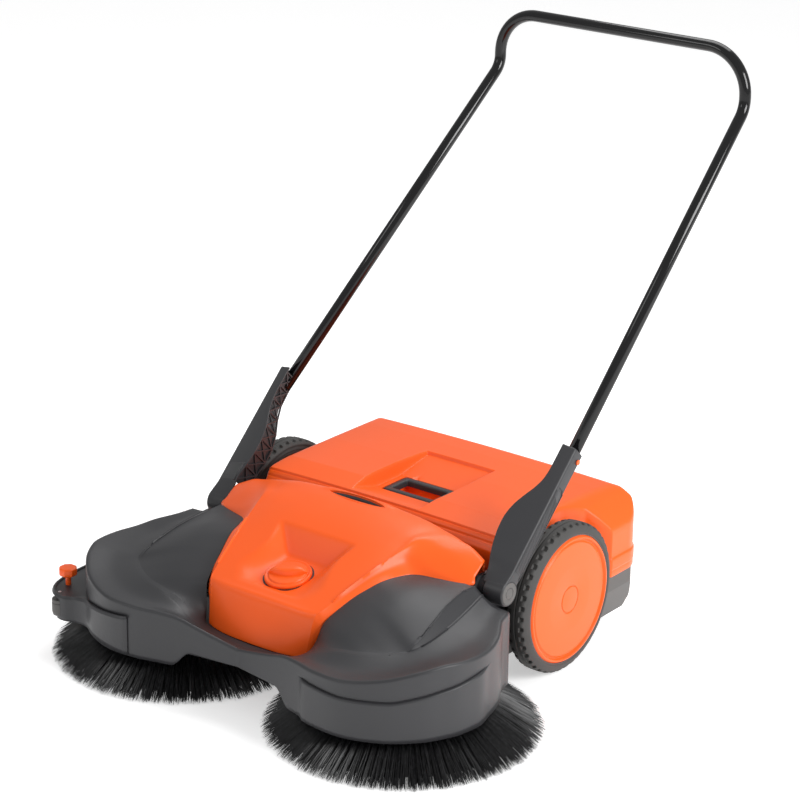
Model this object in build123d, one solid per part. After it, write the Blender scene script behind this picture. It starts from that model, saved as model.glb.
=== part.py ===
from build123d import *
import math
import os

# Walk-behind sweeper with two disc brushes, two drive wheels, a lift-out hopper and a push handle.
# Millimetres. +Z up, the front of the machine towards -Y, the floor at z = 0.
# The origin is on the floor, under the middle of the machine.

# ---- driving dimensions ----------------------------------------------------------------------
SWEEP_WIDTH = 970.2          # over the bristle tips of both discs
BRUSH_X = 243.8              # disc brush axis
BRUSH_Y = -361.9
BRISTLE_TIP_R = SWEEP_WIDTH / 2 - BRUSH_X
BRUSH_PLATE_R = 136.0
BRUSH_PLATE_Z = (64.0, 74.0)
SPINDLE_R = 8.0

WHEEL_Y = -14.3
WHEEL_R = 135.7
WHEEL_X = (295.5, 340.6)     # inner and outer face of a wheel
RIM_R = 117.0
AXLE_R = 8.0

PLATE_X = (271.5, 278.0)     # side plates that carry axles and handle pins
PULLEY_X = (279.0, 291.0)
WHEEL_PULLEY_R = 60.0        # pitch radius of the belt on the wheel
BRUSH_PULLEY_R = 43.0        # pitch radius of the belt on the brush
PULLEY_Z = 163.0             # middle of the brush pulley
BELT_R = 3.5
WRAP_R = 3.2                 # the belt is a little thinner where it bends round a pulley
JOIN = 0.6

PIVOT_Y = -187.0             # handle pivot
PIVOT_Z = 204.2
PIVOT_R = 9.0
CAP_R = 23.3
ARM_X = (326.5, 330.5)       # outer wall of a handle arm
ARM_LEAN = 46.0              # lean of an arm from the vertical, degrees
ARM_LENGTH = 277.0
TUBE_R = 11.0
TUBE_WALL = 1.5

HOPPER_HALF = 266.0          # half width beside the wheels
FLARE_HALF = 318.0           # half width behind the wheels
HOPPER_FRONT = -128.0
HOPPER_REAR = 248.0
SPLIT_Z = 118.0              # joint between hopper lid and hopper tub
TUB_FLOOR = 25.0
SHELL = 3.0                  # moulded wall

SKIRT_X = 233.5              # axis and radius of the round skirts
SKIRT_Y = -374.0
SKIRT_R = 169.0
GAP = 0.3                    # running gap between separate bodies

os.makedirs("parts", exist_ok=True)


def save(name, shape):
    """Write one node; shapes are one solid or a group of separate solids."""
    shape.label = name
    export_step(shape, f"parts/{name}.step")


def save_pair(name, shape):
    """Write the right-hand piece and its mirror image."""
    save(f"{name}_right", shape)
    save(f"{name}_left", mirror(shape, about=Plane.YZ))


def box(x, y, z):
    """A box between two corners given as ranges."""
    centre = ((x[0] + x[1]) / 2, (y[0] + y[1]) / 2, (z[0] + z[1]) / 2)
    return Pos(*centre) * Box(x[1] - x[0], y[1] - y[0], z[1] - z[0])


def rod_x(radius, x, y, z):
    """A cylinder along X between x[0] and x[1]."""
    return Pos((x[0] + x[1]) / 2, y, z) * Rot(0, 90, 0) * Cylinder(radius, x[1] - x[0])


def rod_z(radius, x, y, z):
    """A cylinder along Z between z[0] and z[1]."""
    return Pos(x, y, (z[0] + z[1]) / 2) * Cylinder(radius, z[1] - z[0])


def slab_x(points, x):
    """A side outline of (y, z) points, thickened from x[0] to x[1]."""
    face = make_face(Polyline(*[(x[0], y, z) for y, z in points], close=True))
    return extrude(face, amount=x[1] - x[0], dir=(1, 0, 0))


def slab_y(points, y):
    """A front outline of (x, z) points, thickened from y[0] to y[1]."""
    face = make_face(Polyline(*[(x, y[0], z) for x, z in points], close=True))
    return extrude(face, amount=y[1] - y[0], dir=(0, 1, 0))


def slab_z(points, z):
    """A plan outline of (x, y) points, thickened from z[0] to z[1]."""
    face = make_face(Polyline(*[(x, y, z[0]) for x, y in points], close=True))
    return extrude(face, amount=z[1] - z[0], dir=(0, 0, 1))


def both_sides(points):
    """A closed outline from the points of its right-hand half."""
    return points + [(-x, other) for x, other in reversed(points) if x > 0]


def turned_x(points, y, z):
    """A solid of revolution about an X axis at (y, z); points are (x, radius)."""
    face = make_face(Polyline(*[(x, y, z + r) for x, r in points], close=True))
    return revolve(face, Axis((0, y, z), (1, 0, 0)), 360)


def turned_z(points, x, y):
    """A solid of revolution about a Z axis at (x, y); points are (radius, z)."""
    face = make_face(Polyline(*[(x + r, y, z) for r, z in points], close=True))
    return revolve(face, Axis((x, y, 0), (0, 0, 1)), 360)


# ---- brushes ---------------------------------------------------------------------------------
BRISTLE_ROOT = (116.0, 134.0)
BRISTLE_FOOT = BRISTLE_TIP_R - 24.0
HUB_TOP = 96.0
BEARING_Z = (96.5, 139.7)
DECK_Z = (140.0, 146.0)


def brush():
    plate = turned_z([(SPINDLE_R, BRUSH_PLATE_Z[0]), (BRUSH_PLATE_R, BRUSH_PLATE_Z[0]),
                      (BRUSH_PLATE_R, BRUSH_PLATE_Z[1] - 6), (110, BRUSH_PLATE_Z[1]),
                      (28, BRUSH_PLATE_Z[1]), (20, HUB_TOP), (SPINDLE_R, HUB_TOP)],
                     BRUSH_X, BRUSH_Y)
    save_pair("brush_plate", plate)
    skirt = turned_z([(BRISTLE_ROOT[0], BRUSH_PLATE_Z[0]), (BRISTLE_FOOT, 0), (BRISTLE_TIP_R, 0),
                      (BRISTLE_TIP_R, 5), (BRISTLE_ROOT[1], BRUSH_PLATE_Z[0])], BRUSH_X, BRUSH_Y)
    save_pair("bristles", skirt)
    spindle = rod_z(SPINDLE_R, BRUSH_X, BRUSH_Y, (BRUSH_PLATE_Z[0] - 4, PULLEY_Z + 7))
    spindle += rod_z(15, BRUSH_X, BRUSH_Y, (BRUSH_PLATE_Z[0] - 10, BRUSH_PLATE_Z[0]))
    save_pair("brush_spindle", spindle)
    rim = BRUSH_PULLEY_R - 1.2
    groove = BRUSH_PULLEY_R - BELT_R - GAP
    half = 7.0
    pulley = turned_z([(SPINDLE_R, PULLEY_Z - half), (rim, PULLEY_Z - half),
                       (groove, PULLEY_Z - BELT_R - GAP), (groove, PULLEY_Z + BELT_R + GAP),
                       (rim, PULLEY_Z + half), (SPINDLE_R, PULLEY_Z + half)], BRUSH_X, BRUSH_Y)
    save_pair("brush_pulley", pulley)
    bearing = turned_z([(SPINDLE_R + 0.05, BEARING_Z[0]), (24, BEARING_Z[0]), (30, BEARING_Z[1] - 6),
                        (44, BEARING_Z[1] - 6), (44, BEARING_Z[1]),
                        (SPINDLE_R + 0.05, BEARING_Z[1])], BRUSH_X, BRUSH_Y)
    for x, y in bolt_places()[4:]:
        bearing -= rod_z(2.7, x, y, (BEARING_Z[1] - 7, BEARING_Z[1] + 1))
    save_pair("brush_bearing", bearing)


# ---- wheels ----------------------------------------------------------------------------------
DISC_R = 115.3
CENTRE_CAP_R = 23.0
HUB_BORE = 11.0


def wheel():
    tyre = turned_x([(WHEEL_X[0], RIM_R), (WHEEL_X[0], WHEEL_R - 9), (WHEEL_X[0] + 7, WHEEL_R),
                     (WHEEL_X[1] - 10, WHEEL_R), (WHEEL_X[1] - 2, WHEEL_R - 9),
                     (WHEEL_X[1] - 2, RIM_R)], WHEEL_Y, WHEEL_R)
    save_pair("tyre", tyre)
    web = (WHEEL_X[1] - 19, WHEEL_X[1] - 14)
    core = turned_x([(WHEEL_X[0] + 1, RIM_R - 5), (WHEEL_X[0] + 1, RIM_R), (WHEEL_X[1] - 4, RIM_R),
                     (WHEEL_X[1] - 4, RIM_R - 1.4), (web[1], RIM_R - 1.4), (web[1], HUB_BORE),
                     (WHEEL_X[0], HUB_BORE), (WHEEL_X[0], 24), (web[0], 27), (web[0], RIM_R - 5)],
                    WHEEL_Y, WHEEL_R)
    for step in range(6):
        spoke = box((WHEEL_X[0] + 4, web[0] + 1), (-2.5, 2.5), (22, RIM_R - 4))
        core += Pos(0, WHEEL_Y, WHEEL_R) * Rot(60 * step, 0, 0) * spoke
    save_pair("wheel_core", core)
    face = WHEEL_X[1]
    disc = turned_x([(web[1] + GAP, DISC_R - 4), (web[1] + GAP, DISC_R), (face - 3, DISC_R),
                     (face - 1, DISC_R - 3), (face - 3, DISC_R - 9), (face - 2, CENTRE_CAP_R + 1),
                     (face - 5.9, CENTRE_CAP_R + 0.5), (face - 5.9, 18), (face - 9, 18),
                     (face - 9, CENTRE_CAP_R + 3), (face - 5, CENTRE_CAP_R + 4),
                     (face - 6, DISC_R - 9), (face - 6, DISC_R - 4)], WHEEL_Y, WHEEL_R)
    save_pair("wheel_disc", disc)
    cap = turned_x([(WHEEL_X[1] - 5.7, 0), (WHEEL_X[1] - 5.7, CENTRE_CAP_R),
                    (WHEEL_X[1] - 1, CENTRE_CAP_R), (WHEEL_X[1], CENTRE_CAP_R - 1.5),
                    (WHEEL_X[1], 0)], WHEEL_Y, WHEEL_R)
    save_pair("wheel_cap", cap)
    bush = turned_x([(WHEEL_X[0], AXLE_R + 0.05), (WHEEL_X[0], HUB_BORE), (web[1], HUB_BORE),
                     (web[1], AXLE_R + 0.05)], WHEEL_Y, WHEEL_R)
    save_pair("wheel_bush", bush)
    rim = WHEEL_PULLEY_R - 1.6
    groove = WHEEL_PULLEY_R - BELT_R - GAP
    middle = (PULLEY_X[0] + PULLEY_X[1]) / 2
    pulley = turned_x([(PULLEY_X[0], AXLE_R + 1), (PULLEY_X[0], rim), (middle - BELT_R - GAP, groove),
                       (middle + BELT_R + GAP, groove), (PULLEY_X[1], rim), (PULLEY_X[1], 30),
                       (WHEEL_X[0], 22), (WHEEL_X[0], AXLE_R + 1)], WHEEL_Y, WHEEL_R)
    save_pair("wheel_pulley", pulley)
    axle = rod_x(AXLE_R, (PLATE_X[0] - 2, WHEEL_X[1] - 11), WHEEL_Y, WHEEL_R)
    axle += rod_x(12.5, (WHEEL_X[1] - 13.7, WHEEL_X[1] - 10), WHEEL_Y, WHEEL_R)
    axle += rod_x(14, (PLATE_X[0] - 4, PLATE_X[0]), WHEEL_Y, WHEEL_R)
    save_pair("wheel_axle", axle)


def belt():
    """A round belt that takes a quarter turn from the wheel pulley to the brush pulley."""
    middle = (PULLEY_X[0] + PULLEY_X[1]) / 2
    reach = WHEEL_Y - BRUSH_Y
    aside = middle - BRUSH_X
    bearing = math.degrees(math.atan2(reach, aside))
    half_wrap = math.degrees(math.acos(BRUSH_PULLEY_R / math.hypot(reach, aside)))
    first = bearing - half_wrap
    last = bearing + half_wrap
    drop = math.degrees(math.atan2(WHEEL_R + WHEEL_PULLEY_R - PULLEY_Z, reach))
    rise = math.degrees(math.atan2(PULLEY_Z - WHEEL_R + WHEEL_PULLEY_R, reach))

    def on_wheel(angle):
        """A point of the belt line on the wheel pulley, angle from straight up towards the rear."""
        a = math.radians(angle)
        return Vector(middle, WHEEL_Y + WHEEL_PULLEY_R * math.sin(a),
                      WHEEL_R + WHEEL_PULLEY_R * math.cos(a))

    def on_brush(angle):
        a = math.radians(angle)
        return Vector(BRUSH_X + BRUSH_PULLEY_R * math.cos(a),
                      BRUSH_Y + BRUSH_PULLEY_R * math.sin(a), PULLEY_Z)

    top = on_wheel(-drop)
    low = on_wheel(180 + rise)
    outer = on_brush(first)
    inner = on_brush(last)
    rear_way = Vector(0, math.cos(math.radians(drop)), math.sin(math.radians(drop)))
    rear = revolve(Plane(origin=top, z_dir=rear_way) * Circle(WRAP_R),
                   Axis((0, WHEEL_Y, WHEEL_R), (-1, 0, 0)), 180 + drop + rise)
    front_way = Vector(math.sin(math.radians(first)), -math.cos(math.radians(first)), 0)
    front = revolve(Plane(origin=outer, z_dir=front_way) * Circle(WRAP_R),
                    Axis((BRUSH_X, BRUSH_Y, 0), (0, 0, -1)), 360 - (last - first))
    loop = rear + front
    for start, end in ((top, outer), (low, inner)):
        run = (end - start).normalized()
        along = Plane(origin=start - run * JOIN, z_dir=run)
        loop += extrude(along * Circle(BELT_R), amount=(end - start).length + 2 * JOIN)
    save_pair("drive_belt", loop)


# ---- chassis ---------------------------------------------------------------------------------
THROAT_HALF = 190.0
THROAT_WALL = 4.0
DECK_FRONT = -412.0
DECK_REAR = -146.0
COVER_REAR = -166.0
COVER_HALF = 270.0
NOSE_FRONT = -466.0
LEDGE_Z = 112.0              # the hopper rests here on the side plates
BOLT_CIRCLE = 37.0


def side_plate():
    outline = [(58, 100), (58, 196), (30, 222), (-100, 222), (-170, 226), (-205, 226), (-222, 206),
               (-250, 196), (-306, 182), (-318, 170), (-318, 139), (-240, 139), (-100, 100)]
    plate = slab_x(outline, PLATE_X)
    plate += rod_x(20, (PLATE_X[1] - 1, PLATE_X[1] + 11), PIVOT_Y, PIVOT_Z)
    plate += box((254, PLATE_X[0] + 1), (-28, 45), (LEDGE_Z - 4, LEDGE_Z - GAP))
    plate -= rod_x(AXLE_R + 0.02, (PLATE_X[0] - 1, PLATE_X[1] + 1), WHEEL_Y, WHEEL_R)
    plate -= rod_x(PIVOT_R + 0.02, (PLATE_X[0] - 1, PLATE_X[1] + 12), PIVOT_Y, PIVOT_Z)
    save_pair("side_plate", plate)
    pin = rod_x(PIVOT_R, (PLATE_X[0] - 4, 322), PIVOT_Y, PIVOT_Z)
    pin += rod_x(14, (PLATE_X[0] - 7, PLATE_X[0]), PIVOT_Y, PIVOT_Z)
    save_pair("pivot_pin", pin)


def bolt_places():
    """Four bolts round each brush bearing."""
    places = []
    for side in (-1, 1):
        for turn in range(4):
            angle = math.radians(45 + 90 * turn)
            places.append((side * BRUSH_X + BOLT_CIRCLE * math.cos(angle),
                           BRUSH_Y + BOLT_CIRCLE * math.sin(angle)))
    return places


def deck():
    """Moulded floor over the debris path, with the two brush bearing seats."""
    edge = THROAT_HALF + THROAT_WALL + 1
    plate = slab_z(both_sides([(edge, DECK_REAR), (edge, -300), (150, DECK_FRONT)]), DECK_Z)
    for side in (-1, 1):
        plate += rod_z(48, side * BRUSH_X, BRUSH_Y, DECK_Z)
        arm = sorted((side * 150, side * 244))
        plate += box(arm, (-400, -340), DECK_Z)
        foot = sorted((side * 240, side * (PLATE_X[0] - GAP)))
        plate += box(foot, (-335, -296), DECK_Z)
        wall = sorted((side * (THROAT_HALF + GAP), side * (THROAT_HALF + THROAT_WALL)))
        plate += box(wall, (-211, DECK_REAR), (58, DECK_Z[0] + 1))
        plate -= rod_z(SPINDLE_R + 0.5, side * BRUSH_X, BRUSH_Y, (DECK_Z[0] - 1, DECK_Z[1] + 1))
    plate += box((-PLATE_X[0] + GAP, PLATE_X[0] - GAP), (-170, DECK_REAR), (158, 182))
    plate += box((-150, 150), (-164, -158), (DECK_Z[1] - 1, 159))
    for x, y in bolt_places():
        plate -= rod_z(2.7, x, y, (DECK_Z[0] - 1, DECK_Z[1] + 1))
    save("chassis_deck", plate)
    half = THROAT_HALF
    ramp = slab_x([(-178, 38), (-138, 62), (-131, 62), (-131, 58), (-178, 34)], (-half, half))
    save("debris_ramp", ramp)
    bolts = []
    for x, y in bolt_places():
        head = rod_z(4.5, x, y, (DECK_Z[1] + 0.05, DECK_Z[1] + 3.5))
        bolts.append(head + rod_z(2.5, x, y, (DECK_Z[0] - 3, DECK_Z[1] + 1)))
    save("bearing_bolts", Compound(children=bolts))


def skirt_plan(grow):
    """Plan outline of the brush shroud: two round skirts and the straight part between them."""
    plan = make_face(Polyline(*both_sides([(330 + grow, -216 + grow), (352 + grow, -255),
                                           (SKIRT_X + SKIRT_R + grow, SKIRT_Y + 40),
                                           (SKIRT_X, SILL_FRONT - grow)]), close=True))
    for side in (-1, 1):
        plan += Pos(side * SKIRT_X, SKIRT_Y) * Circle(SKIRT_R + grow)
    return plan


def cover_plan(grow):
    """Plan outline of the front cover, from its nose to the rear arch."""
    half = [(COVER_HALF + grow, COVER_REAR + grow), (COVER_HALF + grow, -227 - grow),
            (187 + grow, -267 - grow), (126 + grow, -432), (106 + grow, NOSE_FRONT - grow)]
    return both_sides(half)


SKIRT_FOOT = 58.0
SILL_Z = 118.0               # top of the front sill between the skirts
SILL_FRONT = -497.0
CHANNEL_Z = 150.0
VALLEY_HALF = 131.0
ARM_ROOM_R = 30.0            # room round each handle pivot
VALLEY_REAR = -424.0
SHROUD_SIDE = [(-560, SKIRT_FOOT), (-560, 146), (-500, 168), (-440, 184), (-360, 204),
               (-280, 222), (-200, 222), (-200, SKIRT_FOOT)]


def shroud():
    def hood(grow):
        body = extrude(skirt_plan(grow), amount=300)
        outline = [(y, z + (grow if z > 60 else 0)) for y, z in SHROUD_SIDE]
        return body & slab_x(outline, (-500, 500))

    outer = hood(0)
    channel = slab_z(cover_plan(1.0), (CHANNEL_Z, 320))
    valley = box((-VALLEY_HALF, VALLEY_HALF), (-560, VALLEY_REAR), (SILL_Z, 320))
    inner = hood(-SHELL) & box((-500, 500), (-600, -212), (40, 300))
    inner -= slab_z(cover_plan(1.0 + SHELL), (CHANNEL_Z - SHELL, 320))
    edge = VALLEY_HALF + SHELL
    inner -= box((-edge, edge), (-560, VALLEY_REAR + SHELL), (SILL_Z - SHELL, 320))
    inner += box((-500, 500), (-600, -212), (SKIRT_FOOT - 10, SKIRT_FOOT + 0.1)) & hood(-SHELL)
    solid = outer - channel - valley - inner
    solid -= box((-500, 500), (-219.5, -190), (SKIRT_FOOT - 1, 300))
    solid -= box((-112, 112), (-560, -430), (SKIRT_FOOT - 1, 86))
    solid -= slab_z(cover_plan(-10), (SILL_Z - SHELL - 1, CHANNEL_Z + 1)) & box(
        (-300, 300), (VALLEY_REAR + SHELL, 0), (0, 300))
    for side in (-1, 1):
        plate_room = sorted((side * (PLATE_X[0] - 2 * GAP), side * (PLATE_X[1] + 2 * GAP)))
        solid -= box(plate_room, (-321, -190), (SKIRT_FOOT - 1, 209))
        solid -= rod_x(ARM_ROOM_R, sorted((side * 288, side * 345)), PIVOT_Y, PIVOT_Z)
    solid = solid.solids().sort_by(SortBy.VOLUME)[-1]
    lobe = slab_z(LOBE, (LOBE_Z[0], LOBE_Z[1]))
    inset = [(x + 4 if x < -400 else x, y + 4 if y < -400 else y - 4) for x, y in LOBE]
    lobe -= slab_z(inset, (LOBE_Z[0] - 1, LOBE_Z[1] - SHELL))
    lobe += rod_z(9, *PLUNGER, (LOBE_Z[1] - 22, LOBE_Z[1]))
    lobe += rod_z(12, *ROLLER, (ROLLER_Z[1] + 1, LOBE_Z[1]))
    lobe -= rod_z(16.5, *ROLLER, (LOBE_Z[0] - 1, ROLLER_Z[1] + 1))
    lobe -= rod_z(SKIRT_R - SHELL + 0.5, -SKIRT_X, SKIRT_Y, (40, 300))
    lobe -= rod_z(4.3, *PLUNGER, (40, 140))
    lobe -= rod_z(3.05, *ROLLER, (80, LOBE_Z[1] - 2))
    solid += lobe
    save("brush_shroud", solid.solids().sort_by(SortBy.VOLUME)[-1])


PLUNGER = (-413.0, -484.0)
ROLLER = (-402.0, -517.0)
ROLLER_Z = (72.0, 102.0)
LOBE_Z = (68.0, 116.0)
LOBE = [(-396, -352), (-434, -369), (-433, -480), (-424, -500), (-404, -519), (-386, -524),
        (-340, -508), (-300, -470)]

COVER_SIDE = [(COVER_REAR, 60), (COVER_REAR, 288), (-200, 288), (-290, 262), (-433, 196),
              (-448, 190), (NOSE_FRONT, 121), (NOSE_FRONT, 60)]
COVER_ARCH = [(0, 292), (100, 286), (190, 266), (276, 238), (290, 232), (290, 60)]


def front_cover():
    def body(grow):
        plan = slab_z(cover_plan(grow), (60, 320))
        side = [(y, z + (grow if z > 150 else 0)) for y, z in COVER_SIDE]
        side = [(y - (grow if y < -440 else 0), z) for y, z in side]
        arch = [(x, z + (grow if z > 150 else 0)) for x, z in COVER_ARCH]
        return plan & slab_x(side, (-400, 400)) & slab_y(both_sides(arch), (-600, 0))

    skin = body(0) - body(-SHELL) - box((-400, 400), (-600, 0), (50, 121))
    skin -= box((-400, 400), (-192, 0), (50, 205))
    skirt_cut = slab_x([(-600, 0), (-600, SILL_Z), (VALLEY_REAR - 3, SILL_Z),
                        (VALLEY_REAR - 3, CHANNEL_Z + 2), (-267, 205), (-100, 205), (-100, 0)],
                       (-400, 400))
    skin -= skirt_cut
    rear = box((-262, 262), (COVER_REAR - 12, COVER_REAR), (200, 320))
    skin += (body(0) - body(-SHELL)) & rear
    # knob seat: a tilted pocket in the nose
    floor = [(-291, 262), (-322, 217), (-418, 196.6), (-428, 201)]
    seat = slab_x(floor + [(-428, 300), (-291, 300)], (-SEAT_HALF, SEAT_HALF))
    under = [(y, z - SHELL - 1) for y, z in reversed(floor)]
    skin += slab_x(floor + under, (-SEAT_HALF - SHELL, SEAT_HALF + SHELL)) & body(0)
    for side in (-1, 1):
        cheek = sorted((side * SEAT_HALF, side * (SEAT_HALF + SHELL)))
        skin += slab_x([(-288, 264), (-322, 213), (-428, 193), (-428, 206)], cheek) & body(0)
    skin -= seat
    skin -= Pos(*KNOB) * Rot(KNOB_TILT, 0, 0) * Cylinder(KNOB_HOLE_R, 60)
    skin -= rod_x(16, (-COVER_HALF - 5, COVER_HALF + 5), PIVOT_Y, PIVOT_Z)
    # grip slot behind the hump
    eye = Pos(0, -186, 282) * Box(116, 15, 40)
    skin -= fillet(eye.edges().filter_by(Axis.Z), 7)
    save("front_cover", skin.solids().sort_by(SortBy.VOLUME)[-1])


SEAT_HALF = 80.0
KNOB = (0.0, -370.0, 206.8)
KNOB_TILT = 12.0
KNOB_R = 42.0
KNOB_HOLE_R = 14.0


def height_knob():
    """Turning knob with a grip bar, on a stem through the cover."""
    dial = Cylinder(KNOB_R, 8, align=(Align.CENTER, Align.CENTER, Align.MIN))
    grip = Pos(0, 0, 8) * Box(2 * KNOB_R - 8, 12, 14, align=(Align.CENTER, Align.CENTER, Align.MIN))
    grip = fillet(grip.edges().filter_by(Axis.Z), 4)
    place = Pos(*KNOB) * Rot(KNOB_TILT, 0, 0)
    save("height_knob", place * Pos(0, 0, 0.6) * (dial + grip))
    stem = Cylinder(KNOB_HOLE_R - 1.5, 30, align=(Align.CENTER, Align.CENTER, Align.MAX))
    save("knob_stem", place * Pos(0, 0, 0.6) * stem)


def hold_down():
    """Push button that presses the bristles down at the free corner, and the wall roller."""
    x, y = PLUNGER
    button = rod_z(17, x, y, (135, 147))
    button = chamfer(button.edges(), 2)
    save("plunger_button", button)
    save("plunger_stem", rod_z(4, x, y, (64, 135)))
    save("plunger_foot", box((x - 14, x + 14), (y - 7, y + 7), (50, 64)))
    x, y = ROLLER
    low, high = ROLLER_Z
    roller = turned_z([(4.0, low), (13, low), (14.5, low + 2), (14.5, high - 2), (13, high),
                       (4.0, high)], x, y)
    save("guide_roller", roller)
    pin = rod_z(3.9, x, y, (low - 1, high + 0.5)) + rod_z(3.0, x, y, (high, LOBE_Z[1] - 2))
    save("roller_pin", pin + rod_z(8, x, y, (low - 4, low - GAP)))


# ---- hopper ----------------------------------------------------------------------------------
def hopper_plan(grow):
    """Plan outline: straight beside the wheels, flared behind them, round rear corners."""
    half = HOPPER_HALF + grow
    flare = FLARE_HALF + grow
    rear = HOPPER_REAR + grow
    radius = 50 + grow
    arc = [(flare - radius + radius * math.cos(a), rear - radius + radius * math.sin(a))
           for a in [math.radians(15 * i) for i in range(7)]]
    return both_sides([(half, HOPPER_FRONT - grow), (half, 56 - grow), (half + 16, 108 - grow),
                       (flare, 144 - grow)] + arc)


LID_SIDE = [(HOPPER_FRONT, SPLIT_Z), (HOPPER_FRONT, 246), (-110, 266), (-60, 274), (60, 272),
            (222, 266), (234, 258), (HOPPER_REAR, 190), (HOPPER_REAR, SPLIT_Z)]
LID_FRONT = [(0, 280), (262, 280), (264, 262), (300, 222), (FLARE_HALF, 196),
             (FLARE_HALF, SPLIT_Z)]
RECESS_HALF = 79.0
HANDLE_Y = (-39.0, 31.0)
HANDLE_HALF = 59.0
HANDLE_TOP = 248.5
POCKET_FLOOR = 204.0


def hopper_lid():
    def body(grow):
        side = [(y - grow if y < 0 else y + grow, z + (grow if z > 130 else 0)) for y, z in LID_SIDE]
        front = [(x + (grow if x > 0 else 0), z + (grow if z > 130 else 0)) for x, z in LID_FRONT]
        plan = slab_z(hopper_plan(grow), (60, 320))
        return plan & slab_x(side, (-400, 400)) & slab_y(both_sides(front), (-300, 400))

    lid = body(0) - body(-SHELL)
    cup = box((-HANDLE_HALF - 4, HANDLE_HALF + 4), (HANDLE_Y[0] - 4, HANDLE_Y[1] + 4),
              (POCKET_FLOOR - 3, 262))
    slope = slab_x([(-56, 268), (31, 244), (110, 269), (110, 264), (31, 238), (-56, 262)],
                   (-RECESS_HALF - 3, RECESS_HALF + 3))
    lid += (cup + slope) & body(0)
    for side in (-1, 1):
        cheek = slab_x([(-52, 270), (HANDLE_Y[0], 244), (31, 240), (110, 266), (110, 276), (-52, 276)],
                       (min(side * RECESS_HALF, side * (RECESS_HALF + 3)),
                        max(side * RECESS_HALF, side * (RECESS_HALF + 3))))
        lid += cheek & body(0)
    lid -= slab_x([(-52, 272), (HANDLE_Y[0], HANDLE_TOP), (HANDLE_Y[1], HANDLE_TOP), (108, 270),
                   (108, 320), (-52, 320)], (-RECESS_HALF, RECESS_HALF))
    lid -= box((-HANDLE_HALF - 0.3, HANDLE_HALF + 0.3), (HANDLE_Y[0] - 0.3, HANDLE_Y[1] + 0.3),
               (HANDLE_TOP - 10, 300))
    lid -= box((-HANDLE_HALF + 6, HANDLE_HALF - 6), (HANDLE_Y[0] + 5, HANDLE_Y[1] - 5),
               (POCKET_FLOOR, 300))
    lid = lid.solids().sort_by(SortBy.VOLUME)[-1]
    save("hopper_lid", lid)
    frame = box((-HANDLE_HALF, HANDLE_HALF), HANDLE_Y, (HANDLE_TOP - 9.7, HANDLE_TOP + 2))
    frame -= box((-HANDLE_HALF + 13, HANDLE_HALF - 13), (HANDLE_Y[0] + 13, HANDLE_Y[1] - 13),
                 (200, 300))
    save("carry_handle", frame)


MOUTH_Z = (64.0, 106.0)


def hopper_tub():
    """Open-topped debris container with a mouth at its front."""
    narrow = 250.0           # half width between the wheels

    def body(grow, low, high):
        base = slab_z(hopper_plan(grow - 2), (low, high))
        taper = slab_x([(HOPPER_FRONT - grow, 300), (HOPPER_FRONT - grow, 60), (-110 - grow, low),
                        (228 + grow, low), (242 + grow, low + 40), (246 + grow, 300)], (-400, 400))
        front = slab_y(both_sides([(290 + grow, low), (312 + grow, low + 60), (316 + grow, 300)]),
                       (-300, 400))
        return base & taper & front

    tub = body(0, TUB_FLOOR, SPLIT_Z - 0.1)
    for side in (-1, 1):
        tub -= box(sorted((side * narrow, side * 400)), (-300, 58), (0, LEDGE_Z))
    inner = body(-SHELL, TUB_FLOOR + SHELL, SPLIT_Z + 1)
    for side in (-1, 1):
        inner -= box(sorted((side * (narrow - SHELL), side * 400)), (-300, 58 + SHELL),
                     (0, LEDGE_Z + SHELL))
    tub -= inner
    tub -= box((-THROAT_HALF + 8, THROAT_HALF - 8), (HOPPER_FRONT - 10, HOPPER_FRONT + 30), MOUTH_Z)
    save("hopper_tub", tub.solids().sort_by(SortBy.VOLUME)[-1])


# ---- handle ----------------------------------------------------------------------------------
LEAN = math.radians(ARM_LEAN)
TUBE_TOP_Z = 988.0
TUBE_REAR_Y = 592.0
TUBE_BEND_Z = 882.0
TUBE_END_X = 274.6
TUBE_FOOT = (315.2, -9.0, 372.4)


def arm_point(s, n):
    """A (y, z) place on an arm: s along it from the pivot, n towards its front."""
    y = PIVOT_Y + s * math.sin(LEAN) - n * math.cos(LEAN)
    z = PIVOT_Z + s * math.cos(LEAN) + n * math.sin(LEAN)
    return (y, z)


ARM_FRONT = 18.0
ARM_BACK = -9.0
FACE_SLOPE = 12.5 / 40.0
FACE_WIDTHS = [(277, 25), (215, 25), (190, 30), (160, 48), (132, 57), (104, 59), (70, 55), (34, 46)]


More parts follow.
